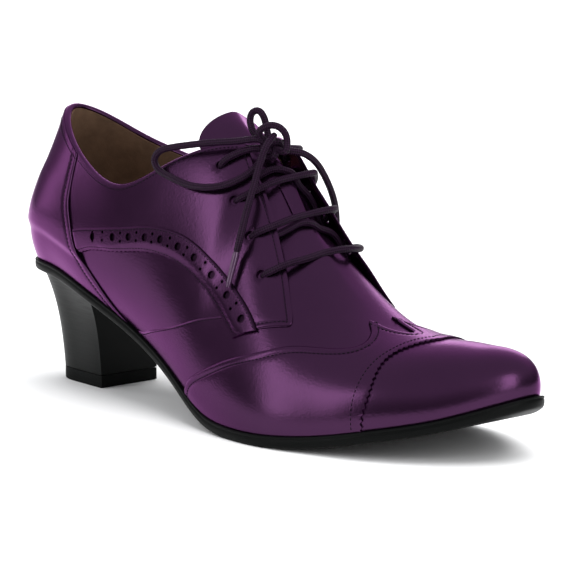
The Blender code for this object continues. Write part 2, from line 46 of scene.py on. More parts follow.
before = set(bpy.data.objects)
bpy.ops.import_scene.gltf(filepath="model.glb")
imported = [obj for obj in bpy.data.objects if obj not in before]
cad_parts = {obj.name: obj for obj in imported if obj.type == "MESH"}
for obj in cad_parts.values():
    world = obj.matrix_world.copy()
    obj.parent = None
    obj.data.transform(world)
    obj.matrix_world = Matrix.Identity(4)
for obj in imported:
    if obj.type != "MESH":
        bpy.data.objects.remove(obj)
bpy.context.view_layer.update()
bpy.ops.object.select_all(action="DESELECT")
print("nodes in the frame:", len(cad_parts))

# %% [markdown]
# ## The camera
# A product photograph is taken with a long lens from just above the shoe. The camera
# looks at a point inside the shoe from a known azimuth, elevation and distance, and a lens
# shift slides the picture sideways without turning the camera.

# %% Camera
PICTURE = 573
FOCAL_PIXELS = 2343
SENSOR = 36.0
AZIMUTH, ELEVATION, ROLL = (math.radians(angle) for angle in (47.26, 8.16, -0.14))
DISTANCE = 870 * MM
TARGET = Vector((98 * MM, 0, 50 * MM))
SHIFT_RIGHT, SHIFT_DOWN = 19.6, 5.6


def place_camera():
    data = bpy.data.cameras.new("camera")
    data.sensor_width = SENSOR
    data.lens = SENSOR * FOCAL_PIXELS / PICTURE
    data.shift_x = SHIFT_RIGHT / PICTURE
    data.shift_y = -SHIFT_DOWN / PICTURE
    camera = bpy.data.objects.new("camera", data)
    bpy.context.scene.collection.objects.link(camera)
    back = Vector((math.sin(AZIMUTH) * math.cos(ELEVATION),
                   -math.cos(AZIMUTH) * math.cos(ELEVATION), math.sin(ELEVATION)))
    right = Vector((math.cos(AZIMUTH), math.sin(AZIMUTH), 0))
    up = back.cross(right)
    level = right * math.cos(ROLL) + up * math.sin(ROLL)
    turn = Matrix((level, back.cross(level), back)).transposed().to_4x4()
    camera.matrix_world = Matrix.Translation(TARGET + back * DISTANCE) @ turn
    bpy.context.scene.camera = camera
    return camera


camera = place_camera()
print("camera at", [round(value, 3) for value in camera.location])

# %% [markdown]
# ## The last
# A last can be sculpted, scanned or lofted. Here it is lofted from ribs, because ribs are
# what a last maker measures: where each one starts on the sole's edge, where it ends on
# the ridge or topline, how high it rises and how full it is between. One smooth cubic
# joins the ribs all round. Girth 0 to 1 runs from the heel's back to the toe's tip along
# the outer side and 1 to 2 back along the inner side; rise 0 to 1 runs up a rib.

# %% Sizes of the last
LAST_LENGTH = 248 * MM
BALL_WIDTH = 84 * MM
UPPER_HEIGHT = 61 * MM
SEAT_PITCH = 45 * MM
TOE_SPRING = 18 * MM
SOLE_THICKNESS = 4.5 * MM
SOLE_EDGE = 2.2 * MM
ORIGIN = np.array([27 * MM, 0, 0])

# Lengths are shares of LAST_LENGTH along the shoe, BALL_WIDTH across and UPPER_HEIGHT up.
RIB_COLUMNS = (
    "along", "side_out", "side_in", "top_along", "top_out", "top_in",
    "rise_out", "rise_in", "low_wide", "low_up", "high_wide", "high_up",
)
RIBS = (
    (0.000, 0.000, 0.000, 0.052, 0.000, 0.000, 1.000, 1.000, 0.089, 0.328, 0.113, -0.492),
    (0.030, -0.190, 0.173, 0.071, -0.101, 0.113, 0.960, 0.944, 0.095, 0.328, 0.107, -0.459),
    (0.100, -0.262, 0.268, 0.117, -0.196, 0.226, 0.866, 0.833, 0.101, 0.311, 0.089, -0.393),
    (0.200, -0.310, 0.292, 0.202, -0.286, 0.304, 0.777, 0.801, 0.095, 0.279, 0.048, -0.262),
    (0.300, -0.321, 0.268, 0.306, -0.327, 0.333, 0.840, 0.897, 0.107, 0.279, 0.048, -0.230),
    (0.400, -0.357, 0.244, 0.407, -0.244, 0.256, 1.205, 1.230, 0.113, 0.311, 0.095, -0.197),
    (0.500, -0.429, 0.280, 0.512, -0.071, 0.071, 1.477, 1.493, 0.095, 0.328, 0.190, -0.115),
    (0.590, -0.482, 0.369, 0.569, 0.000, 0.000, 1.351, 1.351, 0.071, 0.328, 0.202, -0.049),
    (0.680, -0.494, 0.446, 0.637, -0.012, -0.012, 0.964, 0.964, 0.048, 0.311, 0.214, -0.033),
    (0.760, -0.440, 0.458, 0.730, -0.012, -0.012, 0.621, 0.621, 0.036, 0.262, 0.238, 0.000),
    (0.840, -0.363, 0.423, 0.810, 0.024, 0.024, 0.448, 0.448, 0.030, 0.230, 0.262, 0.000),
    (0.920, -0.226, 0.321, 0.875, 0.060, 0.060, 0.365, 0.365, 0.024, 0.197, 0.214, 0.000),
    (0.975, -0.065, 0.208, 0.907, 0.083, 0.083, 0.280, 0.280, 0.024, 0.180, 0.167, 0.000),
    (1.000, 0.095, 0.095, 0.917, 0.095, 0.095, 0.238, 0.238, 0.024, 0.180, 0.155, 0.000),
)

# The bed: how high the sole's edge stands along the shoe, in shares of the two heights.
BED_COLUMNS = ("along", "pitch", "spring")
BED = (
    (0.00, 1.000, 0.000), (0.08, 0.984, 0.000), (0.20, 0.836, 0.000), (0.32, 0.582, 0.000),
    (0.45, 0.256, 0.000), (0.54, 0.040, 0.000), (0.60, 0.000, 0.000), (0.66, 0.000, 0.000),
    (0.71, 0.000, 0.039), (0.77, 0.000, 0.139), (0.85, 0.000, 0.361), (0.93, 0.000, 0.628),
    (1.00, 0.000, 1.000),
)


# %% [markdown]
# Every table above is read by column name and joined by a smooth curve. Straight runs
# between ribs would show as creases, so a natural cubic spline is solved here.

# %% Smooth curves through points
def column(table, names, name):
    return np.array([row[names.index(name)] for row in table])


def cubic(knots, values, period=None):
    """Smooth cubic through the values, natural at its ends or closed over the period."""
    knots = np.asarray(knots, float)
    values = np.asarray(values, float).reshape(len(knots), -1)
    count = len(knots)
    steps = np.diff(knots if period is None else np.append(knots, knots[0] + period))
    system = np.zeros((count, count))
    right = np.zeros_like(values)
    for i in range(count):
        if period is None and i in (0, count - 1):
            system[i, i] = 1.0
            continue
        before, after, following = steps[i - 1], steps[i % len(steps)], (i + 1) % count
        system[i, i - 1] += before
        system[i, i] += 2 * (before + after)
        system[i, following] += after
        right[i] = 6 * ((values[following] - values[i]) / after
                        - (values[i] - values[i - 1]) / before)
    bends = np.linalg.solve(system, right)
    if period is not None:
        knots = np.append(knots, knots[0] + period)
        values = np.vstack([values, values[:1]])
        bends = np.vstack([bends, bends[:1]])

    def at(where):
        where = np.asarray(where, float)
        if period is not None:
            where = (where - knots[0]) % period + knots[0]
        i = np.clip(np.searchsorted(knots, where, side="right") - 1, 0, len(knots) - 2)
        step = (knots[i + 1] - knots[i])[..., None]
        a = (knots[i + 1][..., None] - where[..., None]) / step
        b = 1 - a
        return (a * values[i] + b * values[i + 1]
                + ((a ** 3 - a) * bends[i] + (b ** 3 - b) * bends[i + 1]) * step ** 2 / 6)

    return at


def eased(value, start, end):
    """0 before start, 1 after end, with a smooth rise between."""
    share = np.clip((np.asarray(value, float) - start) / (end - start), 0, 1)
    return share * share * (3 - 2 * share)


# %% [markdown]
# The surface itself joins both tables: a rib is a cubic arc from the feather line, where
# upper meets sole, to the ridge or topline. Pieces are placed on it by girth and rise.

# %% The last's surface
RIB_END = 0.985


class Last:
    """The form of the foot as a surface of girth and rise."""

    def __init__(self):
        outer = self.side("out")
        inner = self.side("in")
        reach = []
        for side in (outer, inner):
            steps = np.hypot(np.diff(side[:, 0]), np.diff(side[:, 1]))
            reach.append(np.concatenate([[0.0], np.cumsum(steps)]) / steps.sum())
        self.girths = (reach[0] + reach[1]) / 2
        knots = np.concatenate([self.girths, 2 - self.girths[-2:0:-1]])
        self.ring = cubic(knots, np.vstack([outer, inner[-2:0:-1]]), 2.0)
        along, pitch, spring = (column(BED, BED_COLUMNS, name) for name in BED_COLUMNS)
        self.bed = cubic(along * LAST_LENGTH,
                         SOLE_THICKNESS + pitch * SEAT_PITCH + spring * TOE_SPRING)

    @staticmethod
    def side(suffix):
        named = (("along", LAST_LENGTH), ("side_" + suffix, BALL_WIDTH),
                 ("top_along", LAST_LENGTH), ("top_" + suffix, BALL_WIDTH),
                 ("rise_" + suffix, UPPER_HEIGHT), ("low_wide", BALL_WIDTH),
                 ("low_up", UPPER_HEIGHT), ("high_wide", BALL_WIDTH), ("high_up", UPPER_HEIGHT))
        return np.stack([column(RIBS, RIB_COLUMNS, name) * size for name, size in named], 1)

    def height(self, along):
        return self.bed(along)[..., 0]

    def ramp(self, girth, first, last):
        share = 1 - np.abs(1 - girth % 2.0)
        share = (share - self.girths[first]) / (self.girths[last] - self.girths[first])
        return np.clip(share, 0, 1)[..., None]

    def outwards(self, girth):
        step = 0.002
        run = self.ring(girth + step)[..., :2] - self.ring(girth - step)[..., :2]
        run /= np.linalg.norm(run, axis=-1, keepdims=True)
        return np.stack([run[..., 1], -run[..., 0], 0 * run[..., 0]], -1)

    def feather(self, girth, outset=0.0, lift=0.0):
        """The line where the upper meets the sole, moved outwards and upwards."""
        girth = np.asarray(girth, float)
        row = self.ring(girth)
        spot = np.stack([row[..., 0], row[..., 1], 0 * row[..., 0]], -1)
        spot = spot + self.outwards(girth) * np.asarray(outset)[..., None]
        spot[..., 2] = self.height(spot[..., 0]) + lift
        return spot

    def top(self, girth):
        row = self.ring(girth)
        return np.stack([row[..., 2], row[..., 3], self.height(row[..., 0]) + row[..., 4]], -1)

    def point(self, girth, rise):
        girth = np.asarray(girth, float)
        rise = np.asarray(rise, float)[..., None]
        row = self.ring(girth)
        up = np.array([0.0, 0.0, 1.0])
        out = self.outwards(girth)
        start = self.feather(girth)
        joined = eased(self.ramp(girth, 6, 7), 0, 1)
        end = self.top(girth) * (1 - joined / 2) + self.top(2 - girth) * joined / 2
        sideways = np.stack([0 * girth, np.where(girth % 2.0 < 1, -1.0, 1.0), 0 * girth], -1)
        square = self.ramp(girth, 5, 7) * (1 - self.ramp(girth, 11, 13))
        lean = out * (1 - square) + sideways * square
        lean /= np.linalg.norm(lean, axis=-1, keepdims=True)
        low = start + out * row[..., 5:6] + up * row[..., 6:7]
        high = end + lean * row[..., 7:8] + up * row[..., 8:9]
        back = 1 - rise
        return (back ** 3 * start + 3 * back ** 2 * rise * low
                + 3 * back * rise ** 2 * high + rise ** 3 * end)

    def normal(self, girth, rise):
        girth = np.asarray(girth, float)
        rise = np.minimum(np.asarray(rise, float), RIB_END)
        step = 0.001
        along = self.point(girth + step, rise) - self.point(girth - step, rise)
        over = (self.point(girth, np.minimum(rise + step, 1))
                - self.point(girth, np.maximum(rise - step, 0)))
        face = np.cross(along, over)
        return face / np.linalg.norm(face, axis=-1, keepdims=True)


LAST = Last()
FLARE = 2.4 * MM


def flare(places):
    """How far the laces hold the inner facing off the foot."""
    along = eased(places[..., 0], 0.45, 0.53) * (1 - eased(places[..., 0], 0.64, 0.69))
    across = eased(places[..., 1], 1.02, 1.12) * (1 - eased(places[..., 1], 1.32, 1.62))
    return FLARE * along * across


def lasted(places, lift=0.0):
    """Points over the last for (girth, rise) places, at a lift above it. A rise over 1
    goes over the ridge and down the inner side."""
    places = np.asarray(places, float)
    lift = lift + flare(places)
    over = places[..., 1] > 1
    girth = np.where(over, 2 - places[..., 0], places[..., 0])
    rise = np.where(over, 2 - places[..., 1], places[..., 1])
    lift = np.broadcast_to(np.asarray(lift, float), girth.shape)[..., None]
    return LAST.point(girth, rise) + LAST.normal(girth, rise) * lift - ORIGIN


print("length of the last in mm:", round(float(np.ptp(lasted(np.stack(
    [np.linspace(0, 2, 99), np.zeros(99)], 1))[:, 0])) / MM, 1))

# %% [markdown]
# ## Seams
# A pattern maker draws each seam once and cuts both pieces to it. Every seam here is a
# short list of (girth, rise) places that one smooth curve goes through.

# %% The seams of this shoe
THROAT = (
    (0.478, 1.00), (0.500, 0.90), (0.550, 0.80), (0.585, 0.772), (0.610, 0.744),
    (0.632, 0.712), (0.645, 0.77), (0.655, 0.88), (0.660, 1.00),
)
FACING_FRONT = (
    (0.478, 1.00), (0.500, 0.90), (0.550, 0.800), (0.585, 0.772), (0.610, 0.744),
    (0.638, 0.700), (0.658, 0.640), (0.672, 0.581),
)
TAB_CORNER = ((0.672, 0.581), (0.6745, 0.552), (0.672, 0.530), (0.665, 0.511))
TAB_BOTTOM = ((0.665, 0.511), (0.645, 0.465), (0.623, 0.419), (0.600, 0.373))
COUNTER_SEAM = (
    (0.318, 0.000), (0.302, 0.031), (0.268, 0.144), (0.242, 0.238), (0.225, 0.325),
    (0.210, 0.494), (0.198, 0.625), (0.190, 0.812), (0.188, 1.000),
)
STRAP_TOP = (
    (0.200, 0.400), (0.207, 0.435), (0.227, 0.502), (0.275, 0.620), (0.315, 0.665),
    (0.351, 0.650), (0.407, 0.598), (0.436, 0.572), (0.475, 0.540), (0.512, 0.513),
    (0.562, 0.486), (0.600, 0.466), (0.616, 0.450), (0.629, 0.424),
)
STRAP_BOTTOM = (
    (0.205, 0.230), (0.222, 0.290), (0.242, 0.362), (0.280, 0.462), (0.331, 0.512),
    (0.362, 0.512), (0.392, 0.499), (0.434, 0.474), (0.471, 0.450), (0.505, 0.428),
    (0.553, 0.388), (0.587, 0.352),
)
WING_EDGE = (
    (0.476, 0.000), (0.484, 0.050), (0.510, 0.150), (0.570, 0.256), (0.635, 0.350),
    (0.688, 0.469), (0.730, 0.560), (0.758, 0.640), (0.767, 0.700), (0.766, 0.775),
    (0.757, 0.845), (0.745, 0.897), (0.744, 0.910), (0.754, 0.923), (0.771, 0.940),
    (0.786, 0.962), (0.795, 0.985), (0.797, 1.000),
)
CAP_SEAM = (
    (0.787, 0.000), (0.787, 0.200), (0.792, 0.400), (0.802, 0.594), (0.815, 0.763),
    (0.823, 0.875), (0.833, 1.000),
)
CAP_GIMP = (
    (0.801, 0.000), (0.802, 0.106), (0.807, 0.231), (0.812, 0.494), (0.817, 0.638),
    (0.830, 0.776), (0.843, 0.894), (0.852, 1.000),
)
SIDE_SEAM = (
    (0.338, 0.000), (0.360, 0.050), (0.392, 0.134), (0.418, 0.188), (0.459, 0.260), (0.510, 0.342),
    (0.555, 0.392),
)
EYELETS = ((0.605, 0.588), (0.557, 0.644), (0.507, 0.713), (0.465, 0.844))
EYELETS_INNER = ((0.590, 1.400), (0.546, 1.350), (0.500, 1.290), (0.460, 1.160))


# %% [markdown]
# Lines are drawn on the last as a maker draws on tape: evenly spaced, set off beside
# a seam by a true distance, or round where a punch goes through.

# %% Drawing on the leather
def seam(points, count=200):
    """Places along a seam's smooth curve, from its first point to its last."""
    points = np.array(points, float)
    steps = np.hypot(*np.diff(points, axis=0).T)
    knots = np.concatenate([[0.0], np.cumsum(steps)])
    return cubic(knots / knots[-1], points)(np.linspace(0, 1, count))


def evenly(places, spacing):
    """The same line with its places at an even spacing on the shoe."""
    spots = lasted(places)
    run = np.concatenate([[0.0], np.cumsum(np.linalg.norm(np.diff(spots, axis=0), axis=1))])
    wanted = np.linspace(0, run[-1], max(2, round(run[-1] / spacing) + 1))
    return np.stack([np.interp(wanted, run, places[:, 0]), np.interp(wanted, run, places[:, 1])], 1)


def moved(places, directions):
    """Places moved over the surface by small steps in space."""
    step = 0.0005
    along = (lasted(places + (step, 0)) - lasted(places - (step, 0))) / (2 * step)
    above = (lasted(places + (0, step)) - lasted(places - (0, step))) / (2 * step)
    aa, ab, bb = (np.sum(x * y, -1) for x, y in ((along, along), (along, above), (above, above)))
    ad, bd = np.sum(along * directions, -1), np.sum(above * directions, -1)
    whole = aa * bb - ab * ab
    return places + np.stack([(bb * ad - ab * bd) / whole, (aa * bd - ab * ad) / whole], -1)


def beside(places, distance):
    """A line beside a seam, to its left as one walks along it with the leather below."""
    spots = lasted(places)
    ahead = np.gradient(spots, axis=0)
    face = lasted(places, MM) - lasted(places)
    left = np.cross(face, ahead)
    left /= np.linalg.norm(left, axis=-1, keepdims=True)
    return moved(places, left * np.asarray(distance)[..., None])


def inner(places):
    """The same line on the shoe's inner side, walked the other way."""
    places = np.array(places)[::-1]
    places[:, 1] = 2 - places[:, 1]
    return places


def round_hole(place, radius, count):
    """The outline of a punched hole, truly round on the curved leather."""
    place = np.array(place, float)
    step = 0.001
    along = lasted(place + (step, 0)) - lasted(place - (step, 0))
    along /= np.linalg.norm(along)
    face = lasted(place, MM) - lasted(place)
    above = np.cross(face / np.linalg.norm(face), along)
    turn = np.linspace(0, 2 * np.pi, count, endpoint=False)[:, None]
    ring = (np.cos(turn) * along + np.sin(turn) * above) * radius
    return moved(np.repeat(place[None], count, 0), ring)


print("lace hole outline:", len(round_hole(EYELETS[0], 1.7 * MM, 16)), "places")

# %% [markdown]
# ## Finishes
# Shader maths reads best as plain sums, so one small class wraps a node's output and adds
# a Math node for each operator. Every other node comes from one method.


# %% Writing shaders as sums
class Wire:
    """An output of a shader node that can be used in sums."""

    def __init__(self, finish, socket):
        self.finish = finish
        self.socket = socket

    def sum(self, operation, *values):
        return self.finish.node("ShaderNodeMath", {"operation": operation}, values)

    def __add__(self, other):
        return self.sum("ADD", self, other)

    def __mul__(self, other):
        return self.sum("MULTIPLY", self, other)

    def __sub__(self, other):
        return self.sum("SUBTRACT", self, other)

    def __rsub__(self, other):
        return self.sum("SUBTRACT", other, self)

    def sine(self):
        return self.sum("SINE", self)

    __radd__ = __add__
    __rmul__ = __mul__


class Finish:
    """A material whose shader is a Principled BSDF with a few sockets driven."""

    def __init__(self, name, colour, roughness, **fixed):
        self.material = bpy.data.materials.new(name)
        self.material.use_nodes = True
        self.material.diffuse_color = (*colour, 1)
        self.tree = self.material.node_tree
        self.shader = self.tree.nodes["Principled BSDF"]
        self.shader.inputs["Base Color"].default_value = (*colour, 1)
        self.shader.inputs["Roughness"].default_value = roughness
        for socket, value in fixed.items():
            self.shader.inputs[socket.replace("_", " ").title().replace("Ior", "IOR")].default_value = value

    def node(self, kind, settings=None, values=(), output=0):
        made = self.tree.nodes.new(kind)
        for name, value in (settings or {}).items():
            if name == "stops":
                self.set_stops(made.color_ramp, value)
            else:
                setattr(made, name, value)
        pairs = values.items() if isinstance(values, dict) else enumerate(values)
        for socket, value in pairs:
            if isinstance(value, Wire):
                self.tree.links.new(value.socket, made.inputs[socket])
            else:
                made.inputs[socket].default_value = value
        return Wire(self, made.outputs[output])

    @staticmethod
    def set_stops(ramp, stops):
        while len(ramp.elements) < len(stops):
            ramp.elements.new(0.5)
        for element, (place, colour) in zip(ramp.elements, stops):
            element.position = place
            element.color = (*colour, 1)

    def place(self):
        return self.node("ShaderNodeTexCoord", output="Object")

    def attribute(self, name):
        return self.node("ShaderNodeAttribute", {"attribute_name": name}, output="Fac")

    def noise(self, scale, detail=2.0, roughness=0.5, where=None):
        return self.node("ShaderNodeTexNoise", None, {
            "Vector": where or self.place(), "Scale": scale, "Detail": detail,
            "Roughness": roughness})

    def ramp(self, factor, stops):
        return self.node("ShaderNodeValToRGB", {"stops": stops}, [factor])

    def drive(self, socket, wire):
        self.tree.links.new(wire.socket, self.shader.inputs[socket])

    def bump(self, height, distance, strength=1.0):
        normal = self.node("ShaderNodeBump", None, {
            "Height": height, "Distance": distance, "Strength": strength})
        self.drive("Normal", normal)


# %% [markdown]
# Purple leather with a pearl finish: its highlights are purple too, so it is nearly all
# metallic, with a fine grain and a slow waviness in its bump. Its colour is darkened by an
# attribute that each cut piece stores from how near a spot is to its own seams, grooves and
# holes: painted shade along the stitch grooves, round the punched holes and on the quarters
# under the strap's holes, and a darker rim along a rolled edge that has no groove.

# %% Leather, lining, sole, heel, lace and thread
def leather_finish():
    finish = Finish("pearl purple leather", (0.045, 0.016, 0.046), 0.28, metallic=0.97,
                    specular_ior_level=0.3, specular_tint=(1.0, 0.62, 1.0, 1))
    grain = finish.node("ShaderNodeTexVoronoi", {"feature": "SMOOTH_F1"}, {
        "Vector": finish.place(), "Scale": 1400.0, "Smoothness": 0.6}, output="Distance")
    cloud = finish.noise(28.0, 3.0)
    # The stored edge attribute darkens the colour: painted shade at stitch grooves, round holes and on the
    # quarters under the strap's holes, and a darker rim at rolled edges without a groove.
    edge = finish.attribute("edge")
    shade = finish.ramp(cloud * 0.35 + 0.33 - edge * 0.42, (
        (0.0, (0.006, 0.0026, 0.006)), (0.36, (0.040, 0.0150, 0.041)), (0.75, (0.058, 0.0215, 0.059))))
    finish.drive("Base Color", shade)
    finish.drive("Roughness", cloud * 0.12 + 0.19 + edge * 0.12)
    wave = finish.noise(26.0, 1.5)
    finish.bump(grain * 0.6 + finish.noise(600.0, 2.0) * 0.4 + wave * 7.0, 0.00012, 0.35)
    return finish.material


def lining_finish():
    finish = Finish("tan pigskin lining", (0.30, 0.17, 0.09), 0.75)
    cloud = finish.noise(60.0, 5.0, 0.65)
    finish.drive("Base Color", finish.ramp(cloud, (
        (0.3, (0.078, 0.040, 0.020)), (0.7, (0.17, 0.095, 0.054)))))
    finish.bump(finish.noise(900.0, 3.0, 0.7), 0.0002, 0.5)
    return finish.material


def black_finish(name, light, roughness, scratches):
    finish = Finish(name, (light, light * 1.15, light * 1.1), roughness, specular_ior_level=0.05)
    streak = finish.node("ShaderNodeMapping", None, {
        "Vector": finish.place(), "Scale": (1.0, 1.0, 14.0)})
    cloud = finish.noise(90.0, 4.0, 0.6, streak)
    finish.drive("Roughness", cloud * 0.25 + (roughness - 0.12))
    finish.bump(cloud + finish.noise(1200.0, 2.0) * 0.5, 0.0001, scratches)
    return finish.material


def lace_finish():
    finish = Finish("waxed purple lace", (0.020, 0.007, 0.021), 0.5, specular_ior_level=0.08)
    uv = finish.node("ShaderNodeTexCoord", output="UV")
    split = finish.node("ShaderNodeSeparateXYZ", None, [uv])
    turns = Wire(finish, split.socket.node.outputs["X"]) * (2 * math.pi * 4)
    run = Wire(finish, split.socket.node.outputs["Y"]) * (2 * math.pi / (1.5 * MM))
    braid = (turns + run).sine() * (turns - run).sine()
    # The braid's low troughs are darker in colour too: painted shade between the strands.
    finish.drive("Base Color", finish.ramp(braid * 0.5 + 0.5, (
        (0.1, (0.004, 0.0013, 0.0044)), (0.8, (0.020, 0.0064, 0.021)))))
    finish.bump(braid, 0.00022, 0.7)
    return finish.material


def thread_finish():
    finish = Finish("dark thread", (0.006, 0.003, 0.007), 0.8, specular_ior_level=0.1)
    finish.bump(finish.noise(4000.0, 2.0), 0.0001, 0.4)
    return finish.material


def tip_finish():
    finish = Finish("lace tip", (0.05, 0.017, 0.052), 0.2, metallic=0.4, coat_weight=0.3)
    finish.bump(finish.noise(800.0, 2.0), 0.0001, 0.2)
    return finish.material


LEATHER = leather_finish()
LINING = lining_finish()
SOLE_BLACK = black_finish("black sole", 0.0025, 0.42, 0.35)
HEEL_BLACK = black_finish("black heel", 0.005, 0.36, 0.2)
LIFT_RUBBER = black_finish("rubber top lift", 0.004, 0.6, 0.5)
LACE = lace_finish()
THREAD = thread_finish()
TIP = tip_finish()
print("finishes:", len(bpy.data.materials))


# %% [markdown]
# ## Tools for cut leather
# A piece with gimped edges and punched holes could be cut with Booleans, but hundreds of
# cutters are slow. A constrained triangulation cuts the flat outline in one go, and a
# Solidify modifier then gives it the leather's thickness.

# %% Finishing a piece
def join_to_shoe(piece, material, slot, *nodes):
    """Give a piece its finish, hang it on the shoe's body and hide the frame's nodes that it stands in for.
    """
    piece.data.materials.append(material)
    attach(piece, BODY)
    if nodes:
        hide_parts(*nodes)
    return piece


def new_piece(name, points, faces):
    mesh = bpy.data.meshes.new(name)
    mesh.from_pydata([tuple(point) for point in points], [], [tuple(face) for face in faces])
    piece = bpy.data.objects.new(name, mesh)
    bpy.context.scene.collection.objects.link(piece)
    return piece


def applied(piece, kind, **settings):
    """Add a modifier with its settings and apply it."""
    modifier = piece.modifiers.new(kind.title(), kind)
    for name, value in settings.items():
        setattr(modifier, name, value)
    bpy.ops.object.select_all(action="DESELECT")
    bpy.context.view_layer.objects.active = piece
    piece.select_set(True)
    bpy.ops.object.modifier_apply(modifier=modifier.name)
    piece.select_set(False)
    return piece


def welded(piece, distance=0.00002):
    bpy.ops.object.select_all(action="DESELECT")
    bpy.context.view_layer.objects.active = piece
    piece.select_set(True)
    bpy.ops.object.mode_set(mode="EDIT")
    bpy.ops.mesh.select_all(action="SELECT")
    bpy.ops.mesh.remove_doubles(threshold=distance)
    bpy.ops.object.mode_set(mode="OBJECT")
    piece.select_set(False)
    return piece


def smoothed(piece, angle=50):
    bpy.ops.object.select_all(action="DESELECT")
    bpy.context.view_layer.objects.active = piece
    piece.select_set(True)
    bpy.ops.object.shade_smooth_by_angle(angle=math.radians(angle))
    piece.select_set(False)
    return piece


# %% [markdown]
# The outline is cut flat, filled with a triangle grid and lasted. Rows of points along
# the seams give the edges their soft roll and the grooves their depth.

# %% Cutting a piece flat
PATTERN = np.array([290 * MM, 78 * MM])
EDGE_SOFTNESS = 0.38 * MM
EDGE_DROP = 0.32 * MM
GROOVE_WIDTH = 0.45 * MM
GROOVE_DEPTH = 0.25 * MM
# Width over which the stored attribute darkens a piece's colour: painted shade at grooves and holes, and a
# darker rim at plain rolled edges.
SHADE_AND_RIM_WIDTH = 0.7 * MM


def distance_to(spots, line):
    """Distance from each point to the nearest point of a fine line."""
    nearest = np.full(len(spots), np.inf)
    for start in range(0, len(line), 100):
        gaps = spots[:, None] - line[None, start:start + 100]
        nearest = np.minimum(nearest, np.sqrt((gaps ** 2).sum(-1).min(1)))
    return nearest


def inside(points, loop):
    """Which flat points lie inside a closed loop."""
    found = np.zeros(len(points), bool)
    x, y = points.T
    for (x0, y0), (x1, y1) in zip(loop, np.roll(loop, -1, axis=0)):
        if y0 == y1:
            continue
        crossing = ((y0 > y) != (y1 > y)) & (x < (x1 - x0) * (y - y0) / (y1 - y0) + x0)
        found ^= crossing
    return found


def cut_flat(outline, holes, lines, spacing):
    """Triangles of a flat piece with its holes, and rows of points along its lines."""
    loops = [outline] + list(holes)
    loops = [loop * PATTERN for loop in loops]
    low, high = loops[0].min(0), loops[0].max(0)
    columns = np.arange(low[0], high[0], spacing)
    rows = np.arange(low[1], high[1], spacing * 0.866)
    grid = np.stack(np.meshgrid(columns, rows), -1)
    grid[1::2, :, 0] += spacing / 2
    fill = grid.reshape(-1, 2)
    drawn = [line * PATTERN for line in lines]
    border = np.vstack(loops + drawn)
    fill = fill[distance_to(fill, border) > 0.62 * spacing]
    if drawn:
        rows_near = np.vstack(drawn)
        rows_near = rows_near[distance_to(rows_near, np.vstack(loops)) > 0.3 * MM]
        fill = np.vstack([fill, rows_near])
    keep = inside(fill, loops[0])
    for loop in loops[1:]:
        keep &= ~inside(fill, loop)
    fill = fill[keep]
    edges = []
    start = 0
    for loop in loops:
        count = len(loop)
        edges += [(start + i, start + (i + 1) % count) for i in range(count)]
        start += count
    flat = np.vstack(loops + [fill])
    found, _, faces, *_ = delaunay_2d_cdt([Vector(p) for p in flat], edges, [], 1, 1e-9)
    found = np.array([tuple(p) for p in found])
    faces = np.array(faces)
    middles = found[faces].mean(1)
    keep = np.ones(len(faces), bool)
    for loop in loops[1:]:
        keep &= ~inside(middles, loop)
    return found / PATTERN, faces[keep]


def leather_piece(name, outline, lift, thickness, rolled=(), holes=(), spacing=1.4 * MM,
                  groove=0.0, bevel=0.0, shade_under_holes=None):
    """A piece cut to its outline, lasted at a lift that may vary, with rounded edges and
    stitch grooves along its rolled seams. It stores an attribute that darkens its colour:
    painted shade along its grooves, round its holes and under the strap's row of holes on a
    quarter, and a darker rim along rolled edges without a groove."""
    lines = []
    for edge in rolled:
        insets = [0.5 * MM, 1.1 * MM]
        if groove:
            insets += [groove - 0.45 * MM, groove, groove + 0.45 * MM, groove + 1.0 * MM]
        lines += [beside(edge, inset) for inset in insets]
    places, faces = cut_flat(outline, holes, lines, spacing)
    spots = lasted(places)
    height = np.zeros(len(places))
    shade_and_rim_distance = np.full(len(places), 1.0)
    for edge in rolled:
        away = distance_to(spots, lasted(evenly(edge, 0.4 * MM)))
        height -= EDGE_DROP * np.exp(-(away / EDGE_SOFTNESS) ** 2)
        if groove:
            height -= GROOVE_DEPTH * np.exp(-((away - groove) / GROOVE_WIDTH) ** 2)
            # At a stitch groove the colour is darkened: painted shade in the groove.
            shade_and_rim_distance = np.minimum(shade_and_rim_distance, np.abs(away - groove) + 0.5 * MM)
        else:
            shade_and_rim_distance = np.minimum(shade_and_rim_distance, away)
    for hole in holes:
        # Round each punched hole the colour is darkened: painted shade at the hole.
        shade_and_rim_distance = np.minimum(shade_and_rim_distance, distance_to(spots, lasted(hole)) + 0.5 * MM)
    # On a quarter the colour is darkened under the strap's row of holes, so that the holes look dark:
    # painted shade.
    if shade_under_holes is not None:
        shade_and_rim_distance = np.minimum(shade_and_rim_distance, np.clip(distance_to(spots, lasted(shade_under_holes)) - 2.4 * MM, 0, None))
    level = lift(places) if callable(lift) else lift
    piece = new_piece(name, lasted(places, level + height), faces)
    # Stored for the leather's colour, which it darkens: mostly painted shade.
    tone = piece.data.attributes.new("edge", "FLOAT", "POINT")
    tone.data.foreach_set("value", np.exp(-(shade_and_rim_distance / SHADE_AND_RIM_WIDTH) ** 2))
    applied(piece, "SOLIDIFY", thickness=thickness, offset=-1.0)
    if bevel:
        applied(piece, "BEVEL", width=bevel, segments=2, limit_method="ANGLE",
                angle_limit=math.radians(55))
    return smoothed(piece)


def gimped(places, pitch, depth):
    """A seam cut with small pointed teeth, to its right."""
    count = max(2, 6 * round(np.linalg.norm(np.diff(lasted(places), axis=0), axis=1).sum() / pitch))
    even = evenly(places, pitch / 6)
    wave = np.abs((np.arange(len(even)) / 6 + 0.5) % 1 - 0.5) * 2
    print("teeth cut:", count // 6)
    return beside(even, -depth * (1 - wave))


